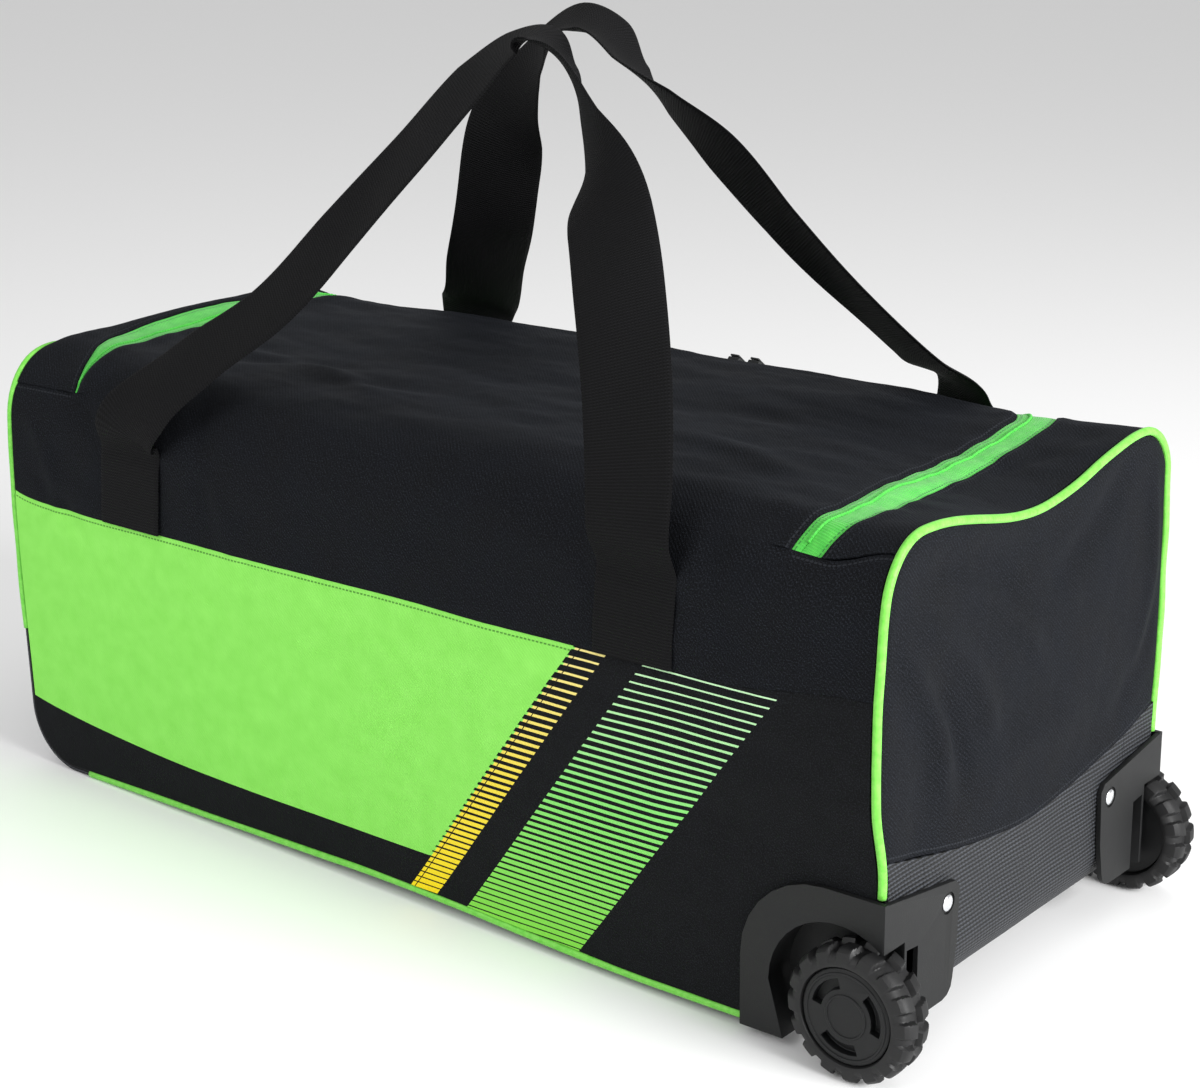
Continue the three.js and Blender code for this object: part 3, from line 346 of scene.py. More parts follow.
def skin(x, s, offset=0.0, relief=1.0):
    """Point of the body's outer surface at x and girth s, moved out along the section's normal by
    the swell or sag there, the wrinkles and an offset."""
    x, s = np.broadcast_arrays(np.asarray(x, float), np.asarray(s, float))
    c = section(x)
    top, fr, br = c["top"], c["front_round"], c["back_round"]
    a_front = np.clip(s / fr, 0, math.pi / 2)
    a_back = np.clip((s - c["s2"]) / br, 0, math.pi / 2)
    over = np.clip(s - c["s1"], 0, c["s2"] - c["s1"])
    y = fr * (1 - np.cos(a_front)) + over + br * np.sin(a_back)
    z = top - fr + fr * np.sin(a_front) - br * (1 - np.cos(a_back))
    z = z + np.minimum(s, 0) - np.maximum(s - c["s3"], 0)
    front = s <= c["s1"]
    ny = np.where(front, -np.cos(a_front), np.where(s >= c["s2"], np.sin(a_back), 0))
    nz = np.where(front, np.sin(a_front), np.where(s >= c["s2"], np.cos(a_back), 1))
    swell = np.where(front, wall_swell(c["front_bulge"], z, top, x), 0)
    swell = swell + np.where(s >= c["s2"], wall_swell(c["back_bulge"], z, top, x), 0)
    dip = c["sag"] * np.sin(math.pi * over / (c["s2"] - c["s1"])) ** 2
    swell = swell - np.where((s > c["s1"]) & (s < c["s2"]), dip, 0)
    on_top = smoothstep(s, 45, 105) * (1 - smoothstep(s, c["s2"] - 20, c["s2"] + 20))
    roll = 3 * np.exp(-((x - 20) / 12) ** 2) - 8 * np.exp(-(x / 9) ** 2)
    swell = swell + offset + on_top * roll + relief * cloth_relief(x, s)
    return np.stack([x + 0 * y, y + ny * swell, z + nz * swell], -1)


def front_girth(x, z):
    c = section(x)
    foot = c["top"] - c["front_round"]
    share = np.clip((z - foot) / c["front_round"], 0, 1)
    return np.where(z <= foot, z - foot, c["front_round"] * np.arcsin(share))


def back_girth(x, z):
    c = section(x)
    foot = c["top"] - c["back_round"]
    share = np.clip((z - foot) / c["back_round"], 0, 1)
    return np.where(z <= foot, c["s3"] + foot - z, c["s2"] + c["back_round"] * np.arccos(share))


def front_seam(x):
    """Height of the printed panel's top seam: level, and drawn up at both ends by the pipings."""
    return PRINT_HEIGHT + 6 * np.exp(-x / 16) + 12 * smoothstep(x, 690, 816)


# Meshes

def outward(points, quads):
    """Quads turned round if the closed mesh's volume comes out negative."""
    a, b, c, d = (points[quads[:, k]] for k in range(4))
    volume = np.einsum("ij,ij->", a, np.cross(b, c)) + np.einsum("ij,ij->", a, np.cross(c, d))
    return quads[:, ::-1] if volume < 0 else quads


def make_piece(name, points, quads, material, nodes, body="root", uv=None, seam=None, crease=50):
    """Mesh object from level-frame points and quads, riding a body in place of CAD nodes."""
    quads = outward(points, quads)
    mesh = bpy.data.meshes.new(name)
    mesh.from_pydata(into_frame(points), [], quads.tolist())
    mesh.validate()
    for layer, values in (("cloth", uv), ("seam", seam)):
        if values is not None:
            corner = np.zeros(len(mesh.loops), np.int32)
            mesh.loops.foreach_get("vertex_index", corner)
            flat = np.ascontiguousarray(np.asarray(values, float)[corner] / 1000, dtype=np.float32)
            mesh.uv_layers.new(name=layer).data.foreach_set("uv", flat.ravel())
    mesh.polygons.foreach_set("use_smooth", np.ones(len(mesh.polygons), bool))
    if crease:
        mesh.set_sharp_from_angle(angle=math.radians(crease))
    piece = bpy.data.objects.new(name, mesh)
    bpy.context.collection.objects.link(piece)
    mesh.materials.append(material)
    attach(piece, body)
    if nodes:
        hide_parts(*nodes)
    return piece


def grid_quads(rows, columns, wrap_rows=False, wrap_columns=False, start=0):
    """Quads of a grid of rows by columns points, closed in either direction if asked."""
    i = np.arange(rows if wrap_rows else rows - 1)
    j = np.arange(columns if wrap_columns else columns - 1)
    i, j = np.meshgrid(i, j, indexing="ij")
    i1, j1 = (i + 1) % rows, (j + 1) % columns
    corners = np.stack([i * columns + j, i1 * columns + j, i1 * columns + j1, i * columns + j1], -1)
    return corners.reshape(-1, 4) + start


def sheet_mesh(outer, inner):
    """Closed sheet between two grids of the same size: both faces and the rim between them."""
    rows, columns = outer.shape[:2]
    count = rows * columns
    face = grid_quads(rows, columns)
    number = np.arange(count).reshape(rows, columns)
    rim = np.concatenate([number[:-1, 0], number[-1, :-1], number[:0:-1, -1], number[0, :0:-1]])
    following = np.roll(rim, -1)
    walls = np.stack([rim, following, following + count, rim + count], -1)
    quads = np.concatenate([face, face[:, ::-1] + count, walls[:, ::-1]])
    return np.concatenate([outer.reshape(-1, 3), inner.reshape(-1, 3)]), quads


def turned_edge(shape, width, drop, sides):
    """How far the face of a sheet drops towards chosen edges, so that the cloth's edge looks turned:
    a quarter round over the last rows or columns."""
    rows, columns = shape
    fall = np.zeros(shape)
    for side in sides:
        size = rows if side in ("first_row", "last_row") else columns
        k = np.arange(size)
        k = k if side.startswith("first") else k[::-1]
        t = np.clip(1 - k / width, 0, 1)
        bend = drop * (1 - np.sqrt(1 - np.clip(t, 0, 0.999) ** 2))
        fall = np.maximum(fall, bend[:, None] if side.endswith("row") else bend[None, :])
    return fall


def cloth_piece(name, x, s, material, nodes, lift=0.0, thickness=WALL, seam=None, edges=()):
    """Sheet of the body's cloth over a grid of x and girth."""
    fall = turned_edge(x.shape, 3, 0.9, edges)
    points, quads = sheet_mesh(skin(x, s, lift - fall), skin(x, s, lift - thickness))
    uv = np.stack([x, s], -1).reshape(-1, 2)
    seam_uv = None if seam is None else np.tile(np.stack(seam, -1).reshape(-1, 2), (2, 1))
    return make_piece(name, points, quads, material, nodes, uv=np.tile(uv, (2, 1)), seam=seam_uv)


def tangents(path):
    step = np.gradient(path, axis=0)
    return step / np.linalg.norm(step, axis=1, keepdims=True)


def tube_mesh(path, radius, sides, start_normal=(0.3, 0.5, 0.81)):
    """Round cord along a path, its ring carried along without twist, with both ends drawn shut."""
    along = tangents(path)
    normal = np.empty_like(path)
    current = np.array(start_normal, float)
    for k, direction in enumerate(along):
        current = current - direction * (current @ direction)
        current = current / np.linalg.norm(current)
        normal[k] = current
    side = np.cross(along, normal)
    a = np.linspace(0, 2 * math.pi, sides, endpoint=False)
    radius = np.broadcast_to(radius, (len(path),))[:, None, None]
    ring = normal[:, None] * np.cos(a)[:, None] + side[:, None] * np.sin(a)[:, None]
    rings = path[:, None] + radius * ring
    rings = np.concatenate([path[:1, None] + 0.02 * ring[:1], rings, path[-1:, None] + 0.02 * ring[-1:]])
    length = np.concatenate([[0], np.cumsum(np.linalg.norm(np.diff(path, axis=0), axis=1))])
    length = np.concatenate([length[:1], length, length[-1:]])
    uv = np.stack(np.broadcast_arrays(length[:, None], a[None, :] * 3), -1)
    return rings.reshape(-1, 3), grid_quads(len(rings), sides, wrap_columns=True), uv.reshape(-1, 2)


def revolved(profile, sides, about_x=False):
    """Profile of (radius, height) pairs turned about the y axis, or about x."""
    profile = np.asarray(profile, float)
    a = np.linspace(0, 2 * math.pi, sides, endpoint=False)
    r, h = profile[:, 0][:, None], profile[:, 1][:, None]
    first, second, third = r * np.cos(a), h + 0 * a, r * np.sin(a)
    points = np.stack([second, first, third] if about_x else [first, second, third], -1)
    return points.reshape(-1, 3), grid_quads(len(profile), sides, wrap_columns=True)


def smooth_route(stops, per_stop=12):
    """Centripetal Catmull-Rom curve through the stops, as the part's source draws the handles."""
    p = np.asarray(stops, float)
    p = np.concatenate([[2 * p[0] - p[1]], p, [2 * p[-1] - p[-2]]])
    out = []
    t = np.linspace(0, 1, per_stop, endpoint=False)[:, None]
    for k in range(1, len(p) - 2):
        d0, d1, d2 = (max(np.linalg.norm(p[k + i] - p[k + i - 1]) ** 0.5, 1e-4) for i in (0, 1, 2))
        m1 = (p[k] - p[k - 1]) / d0 - (p[k + 1] - p[k - 1]) / (d0 + d1) + (p[k + 1] - p[k]) / d1
        m2 = (p[k + 1] - p[k]) / d1 - (p[k + 2] - p[k]) / (d1 + d2) + (p[k + 2] - p[k + 1]) / d2
        m1, m2 = m1 * d1, m2 * d1
        out.append(p[k] + m1 * t + (3 * (p[k + 1] - p[k]) - 2 * m1 - m2) * t ** 2
                   + (2 * (p[k] - p[k + 1]) + m1 + m2) * t ** 3)
    out.append(p[-2:-1])
    return np.concatenate(out)


# Materials

def linear(code):
    """sRGB hex colour to linear RGBA."""
    parts = [int(code[k:k + 2], 16) / 255 for k in (1, 3, 5)]
    return [c / 12.92 if c <= 0.04045 else ((c + 0.055) / 1.055) ** 2.4 for c in parts] + [1.0]


def add_node(tree, kind, settings=None, **inputs):
    """A shader node: settings go on the node, inputs on its sockets by name or index (i0, i1 ...),
    a socket as a link and anything else as a value."""
    node = tree.nodes.new(kind)
    for key, value in (settings or {}).items():
        setattr(node, key, value)
    for key, value in inputs.items():
        socket = node.inputs[int(key[1:])] if key[0] == "i" and key[1:].isdigit() else node.inputs[key.replace("_", " ")]
        if isinstance(value, bpy.types.NodeSocket):
            tree.links.new(value, socket)
        else:
            socket.default_value = value
    return node


def math_of(tree, operation, *values):
    inputs = {f"i{k}": value for k, value in enumerate(values)}
    return add_node(tree, "ShaderNodeMath", {"operation": operation}, **inputs).outputs[0]


def new_material(name, **principled):
    """Material with a Principled shader, returned with its tree and shader for the finish's own nodes."""
    material = bpy.data.materials.new(name)
    material.use_nodes = True
    tree = material.node_tree
    shader = tree.nodes["Principled BSDF"]
    for key, value in principled.items():
        shader.inputs[key.replace("_", " ")].default_value = value
    return material, tree, shader


def layer_uv(tree, layer="cloth"):
    """u and v of one of the piece's UV maps, both in metres of real cloth."""
    uv = add_node(tree, "ShaderNodeUVMap", {"uv_map": layer}).outputs[0]
    parts = add_node(tree, "ShaderNodeSeparateXYZ", None, Vector=uv)
    return uv, parts.outputs[0], parts.outputs[1]


def noise(tree, vector, scale, detail=3.0, roughness=0.55):
    return add_node(tree, "ShaderNodeTexNoise", None, Vector=vector, Scale=scale, Detail=detail,
                    Roughness=roughness).outputs[0]


def ramp(tree, fac, *stops):
    """Colour ramp from (place, colour or grey) stops."""
    node = add_node(tree, "ShaderNodeValToRGB", None, Fac=fac)
    elements = node.color_ramp.elements
    while len(elements) < len(stops):
        elements.new(0.5)
    for element, (place, colour) in zip(elements, stops):
        element.position = place
        element.color = colour if isinstance(colour, list) else [colour] * 3 + [1.0]
    return node.outputs[0]


def mix_colour(tree, fac, a, b, blend="MIX"):
    node = add_node(tree, "ShaderNodeMix", {"data_type": "RGBA", "blend_type": blend}, i0=fac, i6=a, i7=b)
    return node.outputs[2]


def stitch_mask(tree, distance_mm, pitch_mm=3.4, thread_mm=0.55):
    """Row of stitches on the seam map: u runs along the edge, v is the distance from it."""
    _, along, away = layer_uv(tree, "seam")
    row = math_of(tree, "ABSOLUTE", math_of(tree, "SUBTRACT", away, distance_mm / 1000))
    on_row = math_of(tree, "LESS_THAN", row, thread_mm / 1000)
    dash = math_of(tree, "FRACT", math_of(tree, "MULTIPLY", along, 1000 / pitch_mm))
    return math_of(tree, "MULTIPLY", on_row, math_of(tree, "LESS_THAN", dash, 0.68))


def woven_height(tree, u, v, thread_mm):
    """Height of a 2/1 twill: diagonal cords crossed by a fine thread pattern."""
    k = 2 * math.pi * 1000 / thread_mm
    diagonal = math_of(tree, "SINE", math_of(tree, "MULTIPLY", math_of(tree, "ADD", u, v), k * 0.7))
    warp = math_of(tree, "SINE", math_of(tree, "MULTIPLY", u, k * 1.5))
    weft = math_of(tree, "SINE", math_of(tree, "MULTIPLY", v, k))
    crossing = math_of(tree, "MULTIPLY", warp, weft)
    return math_of(tree, "ADD", math_of(tree, "MULTIPLY", diagonal, 0.6), math_of(tree, "MULTIPLY", crossing, 0.5))


def body_cloth_material():
    """600-denier polyester twill, piece-dyed black and coated behind. The yarns read as a fine diagonal grain with a
    faint blue-grey cast;
    the grain's dark grooves are painted shade, and the paler specks where single yarns catch the light are painted
    glints.
    The real yarns are 0.5 mm apart; they are drawn at 2.2 mm to show."""
    material, tree, shader = new_material("black_polyester_twill", Roughness=0.85, Specular_IOR_Level=0.1,
                                          Sheen_Weight=0.02, Sheen_Roughness=0.45)
    shader.inputs["Sheen Tint"].default_value = linear("#aab4c8")
    uv, u, v = layer_uv(tree)
    weave = woven_height(tree, u, v, 2.2)
    cloud = noise(tree, uv, 26, 4.0)
    painted_yarn_glint = noise(tree, uv, 1000, 2.0)
    tone = ramp(tree, cloud, (0.3, linear("#0a0b0d")), (0.7, linear("#101216")))
    # painted highlight: pale grey glints where single yarns catch the light
    tone = mix_colour(tree, ramp(tree, painted_yarn_glint, (0.48, 0.0), (0.7, 0.5)), tone, linear("#3c4049"))
    # painted shade: the weave's grooves darkened in the colour, its raised cords kept light
    lit = ramp(tree, math_of(tree, "MULTIPLY_ADD", weave, 0.45, 0.5), (0.0, 0.3), (1.0, 1.0))
    tone = mix_colour(tree, 0.85, tone, lit, "MULTIPLY")
    stitched = stitch_mask(tree, 3.2)
    tone = mix_colour(tree, stitched, tone, linear("#25272b"))
    tree.links.new(tone, shader.inputs["Base Color"])
    rough = ramp(tree, cloud, (0.3, 0.80), (0.75, 0.92))
    tree.links.new(rough, shader.inputs["Roughness"])
    crumple = add_node(tree, "ShaderNodeBump", None, Strength=0.5, Distance=0.0022,
                       Height=noise(tree, uv, 42, 3.0, 0.5)).outputs[0]
    thread = add_node(tree, "ShaderNodeBump", None, Strength=0.35, Distance=0.0003, Height=weave,
                      Normal=crumple).outputs[0]
    sewn = add_node(tree, "ShaderNodeBump", None, Strength=0.8, Distance=0.0006, Height=stitched,
                    Normal=thread).outputs[0]
    tree.links.new(sewn, shader.inputs["Normal"])
    return material


# Printed panel, on its cloth map (x and height in the level frame)
PRINT_SLANT = 0.75
YELLOW_BAND = (414.0, 439.5)
STRIPE_BAND = (469.5, 575.0)
STRIPE_COUNT = 35.3
STRIPE_CROWDING = 6.7
STRIPE_START = 0.86
FIELD_FOOT = 33.0
FIELD_RISE = 26.0
FIELD_RUN = 130.0


def printed_cloth_material():
    """The same polyester twill under screen-printed ink: a flat fluorescent green field with a slanted
    end, a narrow yellow band and a broad green band of level stripes that grow thicker and closer towards the foot,
    on black. The ink fills the weave, so the colour is even and matt, with the grain only just showing."""
    material, tree, shader = new_material("printed_polyester_twill", Roughness=0.8, Specular_IOR_Level=0.12)
    uv, x, z = layer_uv(tree)
    slant = math_of(tree, "SUBTRACT", x, math_of(tree, "MULTIPLY", z, PRINT_SLANT))
    height = math_of(tree, "DIVIDE", z, PRINT_HEIGHT / 1000)

    def between(value, low, high):
        above = math_of(tree, "GREATER_THAN", value, low / 1000)
        return math_of(tree, "MULTIPLY", above, math_of(tree, "LESS_THAN", value, high / 1000))

    down = math_of(tree, "SUBTRACT", 1.0, height)
    crowding = math_of(tree, "MULTIPLY_ADD", down, STRIPE_CROWDING, STRIPE_COUNT)
    phase = math_of(tree, "FRACT", math_of(tree, "MULTIPLY_ADD", down, crowding, STRIPE_START))
    thick = math_of(tree, "SUBTRACT", 0.8, math_of(tree, "MULTIPLY", height, 0.64))
    stripe = math_of(tree, "LESS_THAN", phase, thick)
    stripe = math_of(tree, "MULTIPLY", stripe, math_of(tree, "LESS_THAN", height, 1.005))
    thick_yellow = math_of(tree, "SUBTRACT", 0.82, math_of(tree, "MULTIPLY", height, 0.6))
    stripe_yellow = math_of(tree, "LESS_THAN", phase, thick_yellow)
    foot = math_of(tree, "EXPONENT", math_of(tree, "MULTIPLY", x, -1000 / FIELD_RUN))
    foot = math_of(tree, "ADD", math_of(tree, "MULTIPLY", foot, FIELD_RISE / 1000), FIELD_FOOT / 1000)
    field = math_of(tree, "MULTIPLY", math_of(tree, "LESS_THAN", slant, YELLOW_BAND[0] / 1000),
                    math_of(tree, "GREATER_THAN", z, foot))
    tick = math_of(tree, "MULTIPLY", between(slant, YELLOW_BAND[0] - 2, YELLOW_BAND[0]),
                   math_of(tree, "SUBTRACT", 1.0, stripe_yellow))
    field = math_of(tree, "MULTIPLY", field, math_of(tree, "SUBTRACT", 1.0, tick))
    split = between(slant, YELLOW_BAND[0] + 3.4, YELLOW_BAND[0] + 4.3)
    yellow = math_of(tree, "MULTIPLY", between(slant, *YELLOW_BAND), stripe_yellow)
    yellow = math_of(tree, "MULTIPLY", yellow, math_of(tree, "SUBTRACT", 1.0, split))
    green = math_of(tree, "MULTIPLY", between(slant, *STRIPE_BAND), stripe)

    mottle = noise(tree, uv, 60, 3.0)
    black = ramp(tree, mottle, (0.3, linear("#060708")), (0.7, linear("#0b0c0e")))
    painted_yarn_glint = noise(tree, uv, 1000, 2.0)
    # painted highlight: pale grey glints where single yarns of the black cloth catch the light
    black = mix_colour(tree, ramp(tree, painted_yarn_glint, (0.48, 0.0), (0.7, 0.4)), black, linear("#33363c"))
    field_green = ramp(tree, mottle, (0.3, linear("#86da5a")), (0.72, linear("#8fe263")))
    band_green = ramp(tree, height, (0.0, linear("#84d84c")), (0.55, linear("#86dd74")), (1.0, linear("#bfe8b8")))
    band_yellow = ramp(tree, height, (0.0, linear("#f8dc1c")), (0.5, linear("#f0d84c")), (1.0, linear("#ecdc8c")))
    colour = mix_colour(tree, green, black, band_green)
    colour = mix_colour(tree, yellow, colour, band_yellow)
    colour = mix_colour(tree, field, colour, field_green)
    stitched = stitch_mask(tree, 3.4)
    dark_thread = math_of(tree, "MULTIPLY", math_of(tree, "MULTIPLY", stitched, field), 0.7)
    colour = mix_colour(tree, dark_thread, colour, linear("#2c5a22"))
    weave = woven_height(tree, x, z, 2.2)
    shade = ramp(tree, weave, (0.0, 0.9), (1.0, 1.0))
    colour = mix_colour(tree, 1.0, colour, shade, "MULTIPLY")
    tree.links.new(colour, shader.inputs["Base Color"])
    crumple = add_node(tree, "ShaderNodeBump", None, Strength=0.35, Distance=0.002,
                       Height=noise(tree, uv, 36, 3.0, 0.5)).outputs[0]
    thread = add_node(tree, "ShaderNodeBump", None, Strength=0.22, Distance=0.0003, Height=weave,
                      Normal=crumple).outputs[0]
    sewn = add_node(tree, "ShaderNodeBump", None, Strength=0.8, Distance=0.0006, Height=stitched,
                    Normal=thread).outputs[0]
    tree.links.new(sewn, shader.inputs["Normal"])
    return material


def ribbed_cloth_material():
    """Coated polyester with a fine cross rib, calendered; the grey line of light on each rib and the dark between the
    ribs are painted into the colour.
    Real ribs stand 1.5 mm apart; they are drawn at 3.2 mm to show."""
    material, tree, shader = new_material("ribbed_coated_cloth", Roughness=0.58, Specular_IOR_Level=0.3)
    uv, u, v = layer_uv(tree)
    k = 2 * math.pi * 1000 / 3.2
    rib = math_of(tree, "SINE", math_of(tree, "MULTIPLY", v, k))
    dash = math_of(tree, "SINE", math_of(tree, "MULTIPLY", math_of(tree, "ADD", u, math_of(tree, "MULTIPLY", v, 0.35)),
                                         k * 0.8))
    height = math_of(tree, "ADD", rib, math_of(tree, "MULTIPLY", dash, 0.35))
    # painted highlight and shade: a grey line of light along each rib's top, dark between the ribs
    tone = ramp(tree, math_of(tree, "MULTIPLY_ADD", height, 0.37, 0.5), (0.3, linear("#030303")),
                (0.95, linear("#3c3f45")))
    tone = mix_colour(tree, ramp(tree, noise(tree, uv, 30), (0.35, 0.0), (0.7, 0.35)), tone, linear("#1a1b1d"))
    tree.links.new(tone, shader.inputs["Base Color"])
    bump = add_node(tree, "ShaderNodeBump", None, Strength=0.6, Distance=0.0006, Height=height).outputs[0]
    tree.links.new(bump, shader.inputs["Normal"])
    return material


def piping_material():
    """Lime polyester cover drawn tight over a cord: slightly glossy, with painted shade that makes it darker in the
    creases.
    """
    material, tree, shader = new_material("lime_piping_cover", Roughness=0.5, Specular_IOR_Level=0.4,
                                          Sheen_Weight=0.05)
    uv, u, _ = layer_uv(tree)
    pucker = math_of(tree, "SINE", math_of(tree, "MULTIPLY", u, 2 * math.pi * 1000 / 3.0))
    crease_height_and_shade = noise(tree, uv, 180, 3.0)
    # painted shade: the cover is darker where this noise sinks it into creases
    tone = ramp(tree, crease_height_and_shade, (0.3, linear("#5fbd36")), (0.7, linear("#7dce52")))
    tree.links.new(tone, shader.inputs["Base Color"])
    height = math_of(tree, "ADD", math_of(tree, "MULTIPLY", pucker, 0.3), crease_height_and_shade)
    bump = add_node(tree, "ShaderNodeBump", None, Strength=0.3, Distance=0.0005, Height=height).outputs[0]
    tree.links.new(bump, shader.inputs["Normal"])
    return material


def zip_tape_material():
    """Woven nylon zip tape dyed a deep green: a fine herringbone seen as cross ribs, with one line of
    stitching by the cloth's edge."""
    material, tree, shader = new_material("green_zip_tape", Roughness=0.6, Specular_IOR_Level=0.35,
                                          Sheen_Weight=0.15)
    uv, u, v = layer_uv(tree)
    rib = math_of(tree, "SINE", math_of(tree, "MULTIPLY", u, 2 * math.pi * 1000 / 2.0))
    cord = math_of(tree, "SINE", math_of(tree, "MULTIPLY", v, 2 * math.pi * 1000 / 1.6))
    height = math_of(tree, "ADD", rib, math_of(tree, "MULTIPLY", cord, 0.6))
    tone = ramp(tree, noise(tree, uv, 120), (0.3, linear("#3cb83a")), (0.7, linear("#54cd48")))
    # painted shade: the tape is darker between its ribs
    tone = mix_colour(tree, 1.0, tone, ramp(tree, height, (0.0, 0.86), (1.0, 1.0)), "MULTIPLY")
    stitched = stitch_mask(tree, 3.0)
    tone = mix_colour(tree, stitched, tone, linear("#237a2a"))
    tree.links.new(tone, shader.inputs["Base Color"])
    bump = add_node(tree, "ShaderNodeBump", None, Strength=0.4, Distance=0.0004, Height=height).outputs[0]
    tree.links.new(bump, shader.inputs["Normal"])
    return material


def webbing_material():
    """Black polypropylene webbing: flat shiny yarns in ribs across the strap with a woven selvedge; the light on the
    ribs and the shade between them are painted into the colour.
    Real ribs are 1.2 mm; they are drawn at 2.2 mm to show."""
    material, tree, shader = new_material("black_webbing", Roughness=0.75, Specular_IOR_Level=0.12,
                                          Sheen_Weight=0.0, Sheen_Roughness=0.4)
    uv, u, v = layer_uv(tree)
    k = 2 * math.pi * 1000 / 2.2
    rib = math_of(tree, "SINE", math_of(tree, "MULTIPLY", u, k))
    warp = math_of(tree, "SINE", math_of(tree, "MULTIPLY", v, k * 0.9))
    height = math_of(tree, "ADD", rib, math_of(tree, "MULTIPLY", math_of(tree, "MULTIPLY", rib, warp), 0.7))
    # painted highlight and shade: rib tops lighter, the hollows between the ribs darker
    tone = ramp(tree, math_of(tree, "MULTIPLY_ADD", height, 0.3, 0.5), (0.1, linear("#050505")),
                (0.9, linear("#121214")))
    tone = mix_colour(tree, ramp(tree, noise(tree, uv, 40), (0.4, 0.0), (0.8, 0.4)), tone, linear("#0d0d0f"))
    tree.links.new(tone, shader.inputs["Base Color"])
    bump = add_node(tree, "ShaderNodeBump", None, Strength=0.55, Distance=0.0005, Height=height).outputs[0]
    tree.links.new(bump, shader.inputs["Normal"])
    return material


def moulded_material(name, low, high, grain_mm, roughness):
    """Injection-moulded plastic with a spark-eroded grain: matt, with tiny glints and faint scuffs."""
    material, tree, shader = new_material(name, Roughness=roughness, Specular_IOR_Level=0.32)
    place = add_node(tree, "ShaderNodeTexCoord").outputs["Object"]
    grain = noise(tree, place, 1000 / grain_mm, 2.0)
    cloud = noise(tree, place, 24, 3.0)
    tree.links.new(ramp(tree, cloud, (0.3, linear(low)), (0.75, linear(high))), shader.inputs["Base Color"])
    rough = ramp(tree, cloud, (0.3, roughness - 0.06), (0.7, roughness + 0.08))
    tree.links.new(rough, shader.inputs["Roughness"])
    bump = add_node(tree, "ShaderNodeBump", None, Strength=0.35, Distance=0.0005, Height=grain).outputs[0]
    tree.links.new(bump, shader.inputs["Normal"])
    return material


def rubber_material():
    """Moulded black rubber: soft grey sheen, slight dust on the blocks."""
    material, tree, shader = new_material("moulded_tyre_rubber", Roughness=0.55, Specular_IOR_Level=0.4)
    place = add_node(tree, "ShaderNodeTexCoord").outputs["Object"]
    cloud = noise(tree, place, 60, 4.0)
    tree.links.new(ramp(tree, cloud, (0.35, linear("#070708")), (0.75, linear("#111112"))),
                   shader.inputs["Base Color"])
    tree.links.new(ramp(tree, cloud, (0.3, 0.46), (0.7, 0.66)), shader.inputs["Roughness"])
    bump = add_node(tree, "ShaderNodeBump", None, Strength=0.2, Distance=0.0006,
                    Height=noise(tree, place, 900, 2.0)).outputs[0]
    tree.links.new(bump, shader.inputs["Normal"])
    return material


def metal_material(name, colour, roughness):
    """Plated steel with fine turning marks."""
    material, tree, shader = new_material(name, Metallic=1.0, Roughness=roughness)
    place = add_node(tree, "ShaderNodeTexCoord").outputs["Object"]
    marks = noise(tree, place, 700, 2.0)
    tree.links.new(ramp(tree, marks, (0.3, linear(colour)), (0.8, linear("#f2f3f5"))), shader.inputs["Base Color"])
    bump = add_node(tree, "ShaderNodeBump", None, Strength=0.1, Distance=0.0002, Height=marks).outputs[0]
    tree.links.new(bump, shader.inputs["Normal"])
    return material


BODY_CLOTH = body_cloth_material()
PRINTED_CLOTH = printed_cloth_material()
RIBBED_CLOTH = ribbed_cloth_material()
PIPING_COVER = piping_material()
ZIP_TAPE = zip_tape_material()
WEBBING = webbing_material()
HOUSING_PLASTIC = moulded_material("charcoal_moulded_polypropylene", "#0b0c0c", "#151617", 0.9, 0.56)
HUB_PLASTIC = moulded_material("black_moulded_nylon", "#08090a", "#101112", 0.8, 0.5)
TYRE_RUBBER = rubber_material()
AXLE_STEEL = metal_material("zinc_plated_steel", "#a9acb0", 0.35)
RIVET_STEEL = metal_material("nickel_plated_rivet", "#d4d6da", 0.22)
SLIDER_METAL = moulded_material("black_enamelled_zinc", "#161718", "#222325", 1.2, 0.35)


# Body cloth

def bottom_sag(x):
    """How far the bottom seam hangs below the level line between the resting tow end and the wheels."""
    return 9 * smoothstep(x, 370, 640)


